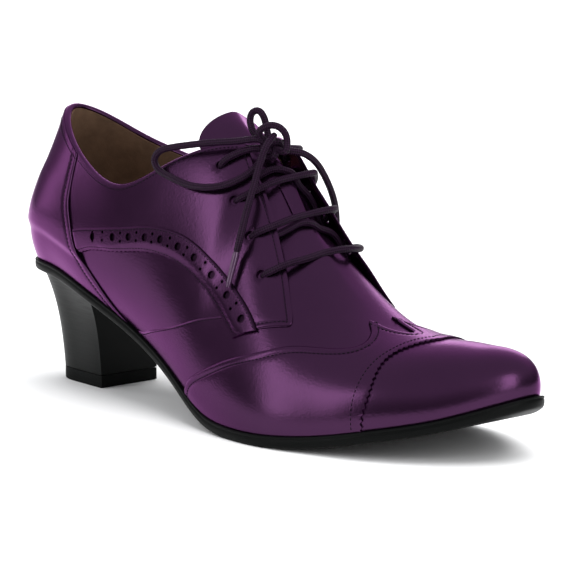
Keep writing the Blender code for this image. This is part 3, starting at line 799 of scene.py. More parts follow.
def loop_of(*sides):
    """One closed outline from sides that end where the next begins."""
    return np.vstack([side[:-1] for side in sides])


# %% [markdown]
# A sheet that nothing cuts needs no outline: Blender's own grid is pulled over the last,
# and where its two ends meet, as the lining's do at the heel, they are welded.

# %% Lasting a whole sheet
UNDER_FACING = 0.20


def lasted_sheet(name, across, up, place):
    """A flat grid of leather pulled over the last; place says where each spot goes."""
    bpy.ops.object.select_all(action="DESELECT")
    bpy.ops.mesh.primitive_grid_add(x_subdivisions=across, y_subdivisions=up, size=1)
    piece = bpy.context.object
    piece.name = piece.data.name = name
    flat = np.zeros(len(piece.data.vertices) * 3)
    piece.data.vertices.foreach_get("co", flat)
    flat = flat.reshape(-1, 3) + 0.5
    piece.data.vertices.foreach_set("co", place(flat[:, 0], flat[:, 1]).ravel())
    piece.data.update()
    piece.select_set(False)
    return welded(piece)


def throat_edge(girth):
    """Rise at which the back part and the lining end, under the facings."""
    side = 1 - np.abs(1 - np.asarray(girth) % 2.0)
    table = np.array(THROAT)
    edge = np.interp(side, table[:, 0], table[:, 1], left=1.0, right=1.0)
    facing = np.where(np.asarray(girth) % 2.0 < 1, 0.65 * eased(side, 0.480, 0.515),
                      eased(side, 0.425, 0.455))
    return edge - UNDER_FACING * facing


# %% [markdown]
# ## Stitches
# A stitch could be painted on, but a small rounded bar of thread catches the light. It is
# modelled once from a sphere and copied along each seam by its points.

# %% Stitch rows
STITCH_PITCH = 1.55 * MM
STITCH_LENGTH = 1.15 * MM
THREAD_RADIUS = 0.20 * MM


def model_stitch():
    bpy.ops.mesh.primitive_uv_sphere_add(segments=6, ring_count=4, radius=1)
    stitch = bpy.context.object
    points = np.array([vertex.co[:] for vertex in stitch.data.vertices])
    faces = [tuple(face.vertices) for face in stitch.data.polygons]
    bpy.data.objects.remove(stitch)
    return points, faces


STITCH_POINTS, STITCH_FACES = model_stitch()


def stitching(name, rows, *nodes):
    """Thread along rows of places, each with the lift of the leather under it."""
    points, faces = [], []
    for places, lift in rows:
        even = evenly(places, STITCH_PITCH)
        level = lift(even) if callable(lift) else lift
        spots = lasted(even, level)
        ahead = np.gradient(spots, axis=0)
        ahead /= np.linalg.norm(ahead, axis=1, keepdims=True)
        face = lasted(even, MM) - lasted(even)
        face /= np.linalg.norm(face, axis=1, keepdims=True)
        side = np.cross(face, ahead)
        for spot, x, y, z in zip(spots, ahead, side, face):
            start = len(points) * len(STITCH_POINTS)
            shape = STITCH_POINTS * (STITCH_LENGTH / 2, THREAD_RADIUS, THREAD_RADIUS)
            points.append(spot + shape @ np.array([x, y, z]))
            faces += [tuple(start + corner for corner in corners) for corners in STITCH_FACES]
    piece = new_piece(name, np.vstack(points), faces)
    print(name, "stitches:", len(points))
    return join_to_shoe(smoothed(piece, 80), THREAD, "lace", *nodes)

# %% [markdown]
# ## Upper body, lining and topline
# The back part of the upper is one smooth shell from the heel to the throat. It is lasted
# as a whole sheet, because nothing cuts its outline but the throat. The lining is a second
# sheet inside it, all the way to the toe, and a rolled edge closes the two along the top.

# %% Back part, lining and rolled topline
LEATHER_THICKNESS = 1.0 * MM
LINING_THICKNESS = 0.8 * MM
BODY_FRONT = 0.635
TOPLINE_LIP = 0.985


def back_place(u, v):
    girth = (u * 2 - 1) * BODY_FRONT % 2
    return lasted(np.stack([girth, v * throat_edge(girth) * TOPLINE_LIP], -1))


def make_back_part():
    piece = lasted_sheet("back_part", 360, 44, back_place)
    applied(piece, "SOLIDIFY", thickness=LEATHER_THICKNESS, offset=-1.0)
    return join_to_shoe(smoothed(piece), LEATHER, "leather", "upper")


def lining_place(u, v):
    girth = u * 2 % 2
    edge = throat_edge(girth) * TOPLINE_LIP
    ridge = eased(1 - np.abs(1 - girth), 0.66, 0.67)
    edge = edge * (1 - ridge) + ridge
    return lasted(np.stack([girth, v * edge], -1), -LEATHER_THICKNESS - 0.05 * MM)


def make_lining():
    piece = lasted_sheet("lining", 400, 36, lining_place)
    applied(piece, "SOLIDIFY", thickness=LINING_THICKNESS, offset=-1.0)
    return join_to_shoe(smoothed(piece), LINING, "lining")


make_back_part()
lining = make_lining()


def swept(name, middles, tall, wide, sides=12):
    """A closed rod along points: tall and wide give each ring's half axes as vectors."""
    turn = np.linspace(0, 2 * np.pi, sides, endpoint=False)[None, :, None]
    rings = middles[:, None] + np.cos(turn) * wide[:, None] + np.sin(turn) * tall[:, None]
    count = len(middles)
    faces = [(i * sides + j, i * sides + (j + 1) % sides,
              (i + 1) * sides + (j + 1) % sides, (i + 1) * sides + j)
             for i in range(count - 1) for j in range(sides)]
    faces.append(tuple(range(sides))[::-1])
    faces.append(tuple((count - 1) * sides + j for j in range(sides)))
    return new_piece(name, rings.reshape(-1, 3), faces)


def make_topline():
    """A strip of leather folded over the top edge, round the heel from facing to facing."""
    outer = np.stack([np.linspace(0.484, -0.484, 260), np.ones(260)], 1)
    girth = outer[:, 0] % 2
    middles = LAST.point(girth, np.full(260, 0.992)) - ORIGIN
    face = LAST.normal(girth, np.full(260, 0.97))
    up = LAST.point(girth, np.ones(260)) - LAST.point(girth, np.full(260, 0.97))
    up /= np.linalg.norm(up, axis=1, keepdims=True)
    piece = swept("topline_edge", middles - face * 0.3 * MM, up * 0.9 * MM, face * 1.35 * MM)
    return join_to_shoe(smoothed(piece), LEATHER, "leather")


topline = make_topline()
print("lining and edge:", len(lining.data.polygons), len(topline.data.polygons))

# %% [markdown]
# ## Vamp and tongue
# The vamp is one piece of leather from the toe cap over the foot into the tongue. Under
# the facings it dips below them, and beyond the last it stands up free. Its underside is
# lined, so the Solidify modifier gives the inner faces a second material.

# %% Vamp and tongue
VAMP_LIFT = 0.35 * MM
TONGUE_DEPTH = 2.7 * MM
TONGUE_ROOT, TONGUE_TIP = 0.49, 0.40
TONGUE_SIDE = (
    (0.562, 0.390), (0.570, 0.480), (0.566, 0.590), (0.545, 0.650), (0.515, 0.700),
    (0.490, 0.735), (0.450, 0.740), (0.422, 0.745), (0.408, 0.780), (0.401, 0.860),
    (0.400, 1.000),
)
TONGUE_BACK, TONGUE_RISE, TONGUE_EDGE_RISE = 21.5 * MM, 13 * MM, 6.5 * MM
# How wide the free part stays, from its root to its end: it is narrow over the topline.
TONGUE_WIDTH = ((0.0, 1.0), (0.33, 0.84), (0.55, 0.86), (0.785, 1.10), (1.0, 1.27))
TONGUE_ASIDE = 2.5 * MM
ARCH_SIDE, ARCH_POWER = 0.72, 1.6
VAMP_THICKNESS = 1.3 * MM


def vamp_lift(places):
    """Over the foot in front, and sunk under the facings behind."""
    girth = places[:, 0]
    rise = np.minimum(places[:, 1], 2 - places[:, 1])
    dip = (1 - eased(girth, 0.598, 0.664)) * eased(rise, 0.46, 0.60)
    return VAMP_LIFT - (TONGUE_DEPTH + VAMP_LIFT) * dip


def crest(girth, lift):
    """The middle of the instep, halfway between the last's two top lines."""
    sides = [lasted(np.stack([girth, np.full(len(girth), rise)], 1), lift) for rise in (0.9999, 1.0001)]
    return (sides[0] + sides[1]) / 2


def vamp_spots(places, lift):
    """Over the last up to the throat, in a round arch under the laces, and then up and
    back from its root."""
    side = 1 - np.abs(1 - places[:, 1])
    held = np.array(places)
    held[:, 0] = np.where(side > 0.5, np.maximum(places[:, 0], TONGUE_ROOT), places[:, 0])
    lift = lift - flare(held)
    spots = lasted(held, lift)
    foot = held.copy()
    foot[:, 1] = np.where(held[:, 1] < 1, ARCH_SIDE, 2 - ARCH_SIDE)
    aside = np.abs(held[:, 1] - 1) / (1 - ARCH_SIDE)
    top = crest(held[:, 0], lift)
    reach = np.stack([aside ** ARCH_POWER, aside, aside ** ARCH_POWER], 1)
    arch = top + (lasted(foot, lift + flare(held) - flare(foot)) - top) * reach
    share = (1 - eased(held[:, 0], 0.60, 0.68)) * eased(side, 0.64, 0.78)
    spots += (arch - spots) * share[:, None]
    free = np.clip((TONGUE_ROOT - places[:, 0]) / (TONGUE_ROOT - TONGUE_TIP), 0, 1) * (side > 0.5)
    table = np.array(TONGUE_WIDTH)
    spots[:, 0] -= free * TONGUE_BACK
    spots[:, 1] = spots[:, 1] * cubic(table[:, 0], table[:, 1:])(free)[:, 0] + TONGUE_ASIDE * free ** 2
    spots[:, 2] += free * (TONGUE_RISE + TONGUE_EDGE_RISE * aside ** ARCH_POWER)
    return spots


def make_vamp():
    low = evenly(seam(SIDE_SEAM, 80), 1.2 * MM)
    side = evenly(seam(TONGUE_SIDE, 120), 1.2 * MM)
    side[-1, 1] = 1.0
    outer = np.vstack([side[::-1][:-1], low[::-1]])
    bottom = np.stack([np.linspace(0.338, 0.825, 100), np.zeros(100)], 1)
    front = np.stack([np.full(100, 0.825), np.linspace(0, 2, 100)], 1)
    outline = loop_of(outer, bottom, front, inner(bottom), inner(outer))
    rows = [beside(low[::-1], inset)[:-2] for inset in (0.5 * MM, 1.0 * MM, 1.6 * MM)]
    rows += [inner(row) for row in rows]
    places, faces = cut_flat(outline, [], rows, 1.3 * MM)
    height = vamp_lift(places)
    spots = lasted(places)
    for edge in (low, inner(low)):
        away = distance_to(spots, lasted(evenly(edge, 0.4 * MM)))
        height -= EDGE_DROP * np.exp(-(away / EDGE_SOFTNESS) ** 2)
    piece = new_piece("vamp", vamp_spots(places, height), faces)
    piece.data.materials.append(LEATHER)
    piece.data.materials.append(LINING)
    applied(piece, "SOLIDIFY", thickness=VAMP_THICKNESS, offset=-1.0, material_offset=1)
    smoothed(piece)
    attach(piece, BODY)
    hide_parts("tongue")
    return piece


vamp = make_vamp()
print("vamp faces:", len(vamp.data.polygons))

# %% [markdown]
# A small patch of leather on the tongue, under the laces, keeps it from sliding. It is cut
# flat like the other pieces and laid over the arch that the tongue already has.

# %% Keeper on the tongue
KEEPER = ((0.560, 0.900), (0.660, 0.930), (0.646, 1.180), (0.556, 1.160))
KEEPER_THICKNESS = 0.7 * MM


def make_keeper():
    corners = np.array(KEEPER)
    sides = [evenly(np.linspace(first, last, 30), 0.8 * MM)
             for first, last in zip(corners, np.roll(corners, -1, axis=0))]
    places, faces = cut_flat(loop_of(*sides), [], [], 1.0 * MM)
    spots = vamp_spots(places, np.full(len(places), KEEPER_THICKNESS - TONGUE_DEPTH))
    piece = new_piece("tongue_keeper", spots, faces)
    applied(piece, "SOLIDIFY", thickness=KEEPER_THICKNESS, offset=-1.0)
    applied(piece, "BEVEL", width=0.15 * MM, segments=2, limit_method="ANGLE",
            angle_limit=math.radians(55))
    return join_to_shoe(smoothed(piece), LEATHER, "leather")


make_keeper()

# %% [markdown]
# ## Quarters, straps and counter
# The quarters carry the lace holes. A curved strap with a gimped lower edge and a row of
# punched holes lies on each, and the counter goes over both at the back.

# %% Quarters
QUARTER_LIFT = 1.0 * MM
QUARTER_THICKNESS = 1.1 * MM
QUARTER_GROOVE = 2.0 * MM
LACE_HOLE = 1.75 * MM
BIG_HOLES = (
    (0.267, 0.534), (0.312, 0.597), (0.347, 0.594), (0.381, 0.569), (0.412, 0.547),
    (0.446, 0.521), (0.478, 0.500), (0.515, 0.476), (0.555, 0.451), (0.597, 0.421),
)
QUARTER_HEM = ((0.600, 0.373), (0.562, 0.405), (0.530, 0.430), (0.480, 0.468), (0.435, 0.500),
               (0.385, 0.530), (0.333, 0.545), (0.283, 0.490), (0.245, 0.400), (0.215, 0.330),
               (0.196, 0.380))


def same(places):
    return np.array(places)


def make_quarter(name, side):
    back = np.array([(0.196, 0.420), (0.184, 0.600), (0.176, 0.800), (0.174, 0.990)])
    top = np.stack([np.linspace(0.174, 0.478, 60), np.full(60, 0.990)], 1)
    front = evenly(seam(FACING_FRONT), 1.0 * MM)
    front[0, 1] = 0.990
    corner = evenly(seam(TAB_CORNER, 20), 0.8 * MM)
    bottom = evenly(seam(TAB_BOTTOM, 60), 1.0 * MM)
    hem = evenly(seam(QUARTER_HEM), 1.2 * MM)
    outline = loop_of(evenly(seam(back[::-1], 30), 1.5 * MM), hem[::-1],
                      bottom[::-1], corner[::-1], front[::-1], evenly(top, 1.2 * MM)[::-1])
    rolled = [side(np.vstack([bottom[::-1][:-1], corner[::-1][:-1], front[::-1]]))]
    eyelets = EYELETS if side is same else EYELETS_INNER
    holes = [round_hole(place, LACE_HOLE, 18) for place in eyelets]
    # The line of the strap's holes, under which the quarter's colour is darkened as painted shade.
    shade_under_holes = side(evenly(seam(BIG_HOLES), 0.8 * MM))
    piece = leather_piece(name, side(outline), QUARTER_LIFT, QUARTER_THICKNESS, rolled,
                          holes, groove=QUARTER_GROOVE, bevel=0.18 * MM, shade_under_holes=shade_under_holes)
    return join_to_shoe(piece, LEATHER, "leather", name)


make_quarter("quarter_lateral", same)
make_quarter("quarter_medial", inner)

# %% [markdown]
# The strap steps down from the quarter onto the back part, so its lift falls towards its
# gimped edge. Ten large holes run along its middle with a pair of small ones between.

# %% Punched straps
STRAP_LIFT = 1.85 * MM
STRAP_LOW_LIFT = 1.05 * MM
STRAP_TUCK = 0.9 * MM
STRAP_THICKNESS = 0.95 * MM
TOOTH_PITCH, TOOTH_DEPTH = 2.5 * MM, 0.6 * MM
BIG_HOLE, SMALL_HOLE = 1.5 * MM, 0.62 * MM
SMALL_SPREAD = 1.5 * MM


def strap_lift(places):
    """Low on the back part at the gimped edge, high on the quarter above it."""
    rise = np.minimum(places[:, 1], 2 - places[:, 1])
    edge = np.array(STRAP_BOTTOM)
    low = np.interp(places[:, 0], edge[:, 0], edge[:, 1])
    lift = STRAP_LOW_LIFT + (STRAP_LIFT - STRAP_LOW_LIFT) * eased(rise - low, 0.004, 0.04)
    over = np.array(COUNTER_SEAM)
    counter_edge = np.interp(rise, over[:, 1], over[:, 0])
    return lift - STRAP_TUCK * (1 - eased(places[:, 0] - counter_edge, -0.004, 0.008))


def strap_holes():
    middles = evenly(seam(BIG_HOLES), 0.5 * MM)
    holes = [round_hole(place, BIG_HOLE, 18) for place in BIG_HOLES]
    starts = [np.argmin(np.abs(middles[:, 0] - place[0])) for place in BIG_HOLES]
    starts = [starts[0] - (starts[1] - starts[0]) // 2] + starts
    for first, second in zip(starts, starts[1:]):
        here = max((first + second) // 2, 0)
        for side in (-1, 1):
            off = beside(middles[[here, here + 1]], side * SMALL_SPREAD)[0]
            if first < 0:
                off = off + (middles[here] - middles[0])
            holes.append(round_hole(off, SMALL_HOLE, 10))
    return holes


def make_strap(name, side):
    top = evenly(seam(STRAP_TOP), 1.0 * MM)
    bottom = gimped(seam(STRAP_BOTTOM), TOOTH_PITCH, TOOTH_DEPTH)
    end = np.linspace(bottom[-1], top[-1], 6)
    start = np.linspace(top[0], bottom[0], 10)
    outline = loop_of(bottom, end, top[::-1], start)
    holes = [side(hole) for hole in strap_holes()]
    rolled = [side(top[::-1])]
    piece = leather_piece(name, side(outline), strap_lift, STRAP_THICKNESS, rolled, holes,
                          spacing=0.9 * MM)
    return join_to_shoe(piece, LEATHER, "leather", name)


make_strap("brogue_strap_lateral", same)
make_strap("brogue_strap_medial", inner)

# %% [markdown]
# The counter wraps the heel over the quarters' and straps' ends. It is one cut piece, and
# it steps up where they end under it, as thick leather does.

# %% Counter
COUNTER_LIFT = 1.3 * MM
COUNTER_STEP = 1.1 * MM
COUNTER_DROP = 0.5 * MM
COUNTER_THICKNESS = 1.0 * MM
COUNTER_GROOVE = 3.2 * MM


def counter_lift(places):
    """Thick where the strap and quarter end under it, thinner below."""
    rise = places[:, 1]
    bump = eased(rise, 0.22, 0.31) * (1 - 0.30 * eased(rise, 0.62, 0.75))
    return COUNTER_LIFT - COUNTER_DROP + COUNTER_STEP * bump


def make_counter():
    edge = evenly(seam(COUNTER_SEAM), 1.0 * MM)
    edge[-1, 1] = 0.990
    other = edge[::-1] * (-1, 1)
    bottom = np.stack([np.linspace(-0.318, 0.318, 110), np.zeros(110)], 1)
    top = np.stack([np.linspace(0.188, -0.188, 70), np.full(70, 0.990)], 1)
    outline = loop_of(bottom, edge, top, other)
    piece = leather_piece("heel_counter", outline, counter_lift, COUNTER_THICKNESS,
                          [edge, other], groove=COUNTER_GROOVE, bevel=0.2 * MM)
    return join_to_shoe(piece, LEATHER, "leather", "heel_counter")


make_counter()

# %% [markdown]
# ## Wing and toe cap
# The toe cap is lasted as a whole sheet, since its only cut edge hides under the wing. The
# wing's back edge rises to a peak on each side of the ridge with a valley between them,
# and its front edge is gimped over the cap.

# %% Wing and toe cap
WING_LIFT = 1.3 * MM
CAP_LIFT = 0.55 * MM
WING_THICKNESS = 1.0 * MM
CAP_THICKNESS = 0.9 * MM
WING_GROOVE = 2.6 * MM
CAP_TOOTH_PITCH, CAP_TOOTH_DEPTH = 2.2 * MM, 0.8 * MM


def cap_place(u, v):
    """From the seam on the outer side round the toe to the seam on the inner side."""
    edge = seam(CAP_SEAM)
    start = np.interp(v, edge[:, 1], edge[:, 0]) - 0.004
    girth = start + (2 - 2 * start) * u
    return lasted(np.stack([girth, v], -1), CAP_LIFT)


def make_cap():
    piece = lasted_sheet("toe_cap", 150, 60, cap_place)
    applied(piece, "SOLIDIFY", thickness=CAP_THICKNESS, offset=-1.0)
    return join_to_shoe(smoothed(piece), LEATHER, "leather", "toe_cap")


def make_wing():
    back = evenly(seam(WING_EDGE), 1.0 * MM)
    back[-1, 1] = 1.0
    back = np.vstack([back, inner(back)[1:]])
    front = evenly(seam(CAP_GIMP), 1.0 * MM)
    front[-1, 1] = 1.0
    front = np.vstack([front, inner(front)[1:]])
    teeth = gimped(front[::-1], CAP_TOOTH_PITCH, CAP_TOOTH_DEPTH)
    teeth[0], teeth[-1] = front[-1], front[0]
    low = np.stack([np.linspace(0.476, 0.801, 80), np.zeros(80)], 1)
    outline = loop_of(evenly(low, 1.2 * MM), teeth[::-1], inner(evenly(low, 1.2 * MM)), back[::-1])
    piece = leather_piece("wing_tip", outline, WING_LIFT, WING_THICKNESS, [back[::-1]],
                          groove=WING_GROOVE, bevel=0.15 * MM)
    return join_to_shoe(piece, LEATHER, "leather", "wing_tip")


make_cap()
make_wing()

# %% [markdown]
# ## Sole, heel and sock
# The sole is a thin moulded unit. Its outline follows the last a little outside, and its
# side is a short profile swept round: an edge, a shallow groove and a rounded foot.

# %% Sole and heel
EDGE_COLUMNS = ("girth", "share")
EDGE = ((0.0, 0.85), (0.2, 0.75), (0.38, 0.55), (0.55, 0.9), (0.7, 1.0), (1.0, 1.0))
SOLE_SIDE = (
    (0.45, 0.00), (0.10, 0.05), (0.00, 0.14), (0.22, 0.20), (0.22, 0.25), (0.00, 0.31),
    (0.00, 0.55), (0.12, 0.78), (0.45, 0.92), (1.10, 1.00),
)
SOLE_GAP = 0.3 * MM
FLAT_SNAP = 0.25 * MM
HEEL_SEAT_LENGTH = 49 * MM
HEEL_BASE_LENGTH = 34 * MM
HEEL_BASE_WIDTH = 28.5 * MM
HEEL_BASE_SETBACK = 10 * MM
HEEL_BASE_ROUNDNESS = 0.8
HEEL_EDGE_INSET = 3.6 * MM
HEEL_STRAIGHTNESS = 0.4
TOP_LIFT_THICKNESS = 5 * MM


def edge_outset(girth):
    side = 1 - np.abs(1 - np.asarray(girth) % 2.0)
    places, shares = (column(EDGE, EDGE_COLUMNS, name) for name in EDGE_COLUMNS)
    return SOLE_EDGE * cubic(places, shares)(side)[..., 0]


def tread_height(along):
    low = LAST.height(along) - SOLE_THICKNESS
    return np.where(low < FLAT_SNAP, 0.0, low)


def ring_solid(name, rings):
    """A closed solid from rings, lowest first, capped by strips from side to side."""
    count = len(rings[0])
    faces = []
    for level in range(len(rings) - 1):
        for i in range(count):
            following = (i + 1) % count
            low, high = level * count, (level + 1) * count
            faces.append((low + i, low + following, high + following, high + i))
    top = (len(rings) - 1) * count
    for i in range(count // 2):
        corners = list(dict.fromkeys((i, i + 1, count - i - 1, (count - i) % count)))
        if len(corners) > 2:
            faces.append(tuple(top + corner for corner in corners))
            faces.append(tuple(corners[::-1]))
    return welded(new_piece(name, np.concatenate(rings) - ORIGIN, faces))


def make_sole():
    side = np.linspace(0, 1, 200)
    girth = np.concatenate([side, 2 - side[-2:0:-1]])
    rings = []
    for inset, share in SOLE_SIDE[::-1]:
        ring = LAST.feather(girth, edge_outset(girth) - inset * MM)
        high = ring[:, 2] - SOLE_GAP
        ring[:, 2] = high + (tread_height(ring[:, 0]) - high) * share
        rings.append(ring)
    return join_to_shoe(smoothed(ring_solid("sole_unit", rings), 60), SOLE_BLACK, "sole", "outsole")


def heel_outline(level):
    breast = np.interp(HEEL_SEAT_LENGTH, LAST.ring(np.linspace(0, 0.5, 60))[:, 0],
                       np.linspace(0, 0.5, 60))
    side = np.concatenate([np.linspace(0, 0.45, 28)[:-1], np.linspace(0.45, 1, 20)]) * breast
    girth = np.concatenate([side, 2 - side[:0:-1]])
    seat = LAST.feather(girth, edge_outset(girth) - HEEL_EDGE_INSET)
    seat[:, 0] = np.minimum(seat[:, 0], HEEL_SEAT_LENGTH)
    width, length = np.ptp(seat[:, 1]), np.ptp(seat[:, 0])
    base = seat.copy()
    base[:, 0] = HEEL_BASE_SETBACK + (seat[:, 0] - seat[:, 0].min()) * HEEL_BASE_LENGTH / length
    middle = (seat[:, 1].max() + seat[:, 1].min()) / 2
    share = (seat[:, 1] - middle) * 2 / width
    base[:, 1] = np.sign(share) * np.abs(share) ** HEEL_BASE_ROUNDNESS * HEEL_BASE_WIDTH / 2
    flare = HEEL_STRAIGHTNESS * level + (1 - HEEL_STRAIGHTNESS) * level ** 3
    outline = base * (1 - flare) + seat * flare
    ceiling = tread_height(seat[:, 0]) - SOLE_GAP
    floor = TOP_LIFT_THICKNESS + SOLE_GAP
    outline[:, 2] = floor + (ceiling - floor) * level
    return outline


def make_heel():
    rings = [heel_outline(level) for level in np.linspace(0, 1, 24)]
    piece = ring_solid("heel_block", rings)
    return join_to_shoe(smoothed(piece, 35), HEEL_BLACK, "heel", "heel")


def make_top_lift():
    outline = heel_outline(0.0)
    rings = []
    for height, inset in ((0.0, 0.5 * MM), (0.4 * MM, 0.0), (TOP_LIFT_THICKNESS, 0.0)):
        ring = outline.copy()
        middle = ring[:, :2].mean(0)
        ring[:, :2] += (middle - ring[:, :2]) * inset / (HEEL_BASE_WIDTH / 2)
        ring[:, 2] = height
        rings.append(ring)
    piece = ring_solid("heel_top_lift", rings)
    return join_to_shoe(smoothed(piece, 35), LIFT_RUBBER, "lift", "top_lift")


make_sole()
make_heel()
make_top_lift()
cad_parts["insole"].data.materials.clear()
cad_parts["insole"].data.materials.append(LINING)

# %% [markdown]
# ## Laces
# A lace is a round waxed cord. Each visible stretch is a tube along a smooth route, with a
# UV map that runs round it and along it, so that the braid follows the cord. The bow's
# loops and ends hang free, and the length of each is printed.

# %% Ropes
LACE_DIAMETER = 2.6 * MM
ROPE_SIDES = 14


def rope(name, points, diameter, spacing=0.9 * MM, taper=1.0):
    """A round tube along a smooth route, and the route that it follows."""
    points = np.asarray(points, float)
    run = np.concatenate([[0.0], np.cumsum(np.linalg.norm(np.diff(points, axis=0), axis=1))])
    middles = cubic(run, points)(np.linspace(0, run[-1], max(4, round(run[-1] / spacing))))
    ahead = np.gradient(middles, axis=0)
    ahead /= np.linalg.norm(ahead, axis=1, keepdims=True)
    wide = [np.cross(ahead[0], (0.3, 0.2, 0.9))]
    for direction in ahead[1:]:
        wide.append(wide[-1] - direction * np.dot(wide[-1], direction))
    wide = np.array(wide)
    wide /= np.linalg.norm(wide, axis=1, keepdims=True)
    tall = np.cross(ahead, wide)
    radius = np.linspace(1, taper, len(middles)) * diameter / 2
    radius[[0, -1]] *= 0.8
    piece = swept(name, middles, tall * radius[:, None], wide * radius[:, None], ROPE_SIDES)
    along = np.concatenate([[0.0], np.cumsum(np.linalg.norm(np.diff(middles, axis=0), axis=1))])
    layer = piece.data.uv_layers.new(name="UVMap")
    for face in piece.data.polygons:
        corners = [piece.data.loops[i].vertex_index for i in face.loop_indices]
        turns = [corner % ROPE_SIDES for corner in corners]
        wrap = max(turns) - min(turns) > ROPE_SIDES / 2 and len(turns) == 4
        for i, corner, turn in zip(face.loop_indices, corners, turns):
            turn = turn + ROPE_SIDES if wrap and turn == 0 else turn
            layer.data[i].uv = (turn / ROPE_SIDES, along[corner // ROPE_SIDES])
    return smoothed(piece, 60), middles


# %% [markdown]
# The lace crosses the throat in three bars, with slanting runs below the facings between
# them. Each is a rope through places on the last, lifted over the leather in the middle
# and dipping into its eyelet at both ends.

# %% Lacing through the eyelets
UNDER_LIFT = -0.6 * MM

# For each bar, from the toe up, its way from the outer eyelet to the inner one.
BARS = (
    ((0.605, 0.588), (0.612, 0.605), (0.621, 0.632), (0.635, 0.700), (0.650, 0.800), (0.659, 1.000),
     (0.656, 1.130), (0.645, 1.230), (0.618, 1.335), (0.600, 1.375), (0.590, 1.400)),
    ((0.557, 0.644), (0.564, 0.658), (0.574, 0.682), (0.590, 0.738), (0.604, 0.820), (0.616, 1.000),
     (0.608, 1.130), (0.587, 1.230), (0.563, 1.300), (0.552, 1.335), (0.546, 1.350)),
    ((0.507, 0.713), (0.512, 0.722), (0.520, 0.738), (0.532, 0.772), (0.548, 0.840), (0.565, 1.000),
     (0.552, 1.125), (0.530, 1.190), (0.512, 1.245), (0.505, 1.275), (0.500, 1.290)),
)
BAR_LIFTS = np.array([-1.4, 0.8, 2.1, 2.4, 1.9, 0.4, 2.1, 2.4, 2.3, 0.8, -1.4]) * MM
TOP_EYELETS = {
    "lateral": ((0.465, 0.844), (0.490, 0.935)),
    "medial": ((0.460, 1.160), (0.500, 1.095)),
}


def make_bars():
    made = []
    for number, places in enumerate(BARS, 1):
        places = np.array(places)
        points = lasted(places, BAR_LIFTS)
        points[5] = crest(places[5:6, 0], BAR_LIFTS[5:6])[0]
        piece, _ = rope("lace_over_%d" % number, points, LACE_DIAMETER)
        made.append(join_to_shoe(piece, LACE, "lace", "lace_bar_%d" % number))
    for suffix, (eyelet, leaves) in TOP_EYELETS.items():
        eyelet, leaves = np.array(eyelet), np.array(leaves)
        places = eyelet + np.outer((-0.04, 0.04, 0.20, 0.50, 1.0), leaves - eyelet)
        points = lasted(places, np.array([-1.4, 0.8, 2.1, 2.4, 2.4]) * MM)
        points = np.vstack([points, KNOT + (points[-1] - KNOT) * 0.22])
        piece, _ = rope("lace_to_knot_" + suffix, points, LACE_DIAMETER)
        made.append(join_to_shoe(piece, LACE, "lace", "lace_top_" + suffix))
    return made


UNDER_RUNS = (
    ((0.585, 0.690), (0.600, 0.745), (0.608, 0.795), (0.614, 0.850), (0.619, 0.920), (0.625, 1.000),
     (0.624, 1.090), (0.616, 1.180), (0.607, 1.260), (0.603, 1.330), (0.604, 1.400)),
    ((0.505, 0.740), (0.512, 0.785), (0.522, 0.845), (0.534, 0.910), (0.547, 0.965), (0.556, 1.020),
     (0.559, 1.100), (0.553, 1.190), (0.548, 1.280), (0.548, 1.360), (0.552, 1.430)),
)


def make_unders():
    """The slanting runs under the facings, seen between the bars."""
    for number, run in enumerate(UNDER_RUNS, 1):
        run = np.array(run)
        piece, _ = rope("lace_under_%d" % number, vamp_spots(run, np.full(len(run), UNDER_LIFT)),
                        LACE_DIAMETER)
        join_to_shoe(piece, LACE, "lace")


KNOT = np.array([105.3, -4.1, 100.1]) * MM
bars = make_bars()
make_unders()
print("bars:", [piece.name for piece in bars])

# %% [markdown]
# The bow hangs free, so its routes are points in space, the same as the part's own. A
# knot and a wrap sit where its two loops and two ends meet, and each end has a tip.

# %% The bow
ROUTES = {
    "lace_loop_long": (
        (103.6, -7.7, 103.1), (98.7, -11.8, 103.0), (93.9, -14.6, 102.4), (88.1, -18.1, 101.9),
        (79.2, -22.0, 100.7), (72.5, -25.0, 99.5), (68.3, -27.0, 97.7), (66.7, -27.6, 94.9),
        (68.4, -27.7, 91.8), (72.5, -27.3, 89.7), (77.7, -27.0, 88.2), (83.8, -26.3, 86.7),
        (91.2, -24.7, 86.2), (97.5, -22.2, 87.0), (102.3, -18.6, 89.2), (104.6, -15.2, 91.5),
    ),
    "lace_loop_short": (
        (102.9, -3.6, 102.2), (100.5, -4.6, 103.0), (97.9, -5.4, 104.5), (95.6, -5.4, 107.4),
        (94.4, -4.8, 110.4), (95.1, -4.0, 112.8), (97.0, -3.2, 113.3), (98.8, -2.6, 111.8),
        (99.8, -2.2, 109.2), (100.6, -2.2, 106.5), (101.9, -2.6, 103.9),
    ),
    "lace_wrap": (
        (103.6, -8.9, 106.1), (105.5, -7.9, 108.0), (108.3, -6.2, 108.7), (110.7, -4.6, 107.6),
        (112.1, -3.4, 105.1), (112.7, -3.4, 102.2), (113.1, -4.4, 99.7),
    ),
    "lace_end_near": (
        (109.0, -6.0, 105.4), (109.4, -9.1, 103.2), (109.4, -11.4, 100.4), (109.2, -13.1, 96.5),
        (109.7, -15.2, 92.6), (110.7, -17.7, 88.5), (111.6, -20.6, 83.3), (111.8, -22.9, 77.8),
        (113.0, -26.0, 72.2), (113.0, -27.8, 66.9), (112.5, -28.1, 64.7),
    ),
    "lace_end_far": (
        (107.1, -1.2, 99.8), (108.9, 0.8, 99.1), (110.4, 3.2, 98.7), (111.1, 7.4, 97.4),
        (111.0, 12.4, 94.4), (110.3, 17.4, 89.4), (109.6, 21.4, 83.9), (108.2, 25.0, 78.3),
        (105.6, 28.6, 71.8), (102.5, 31.6, 63.7),
    ),
}
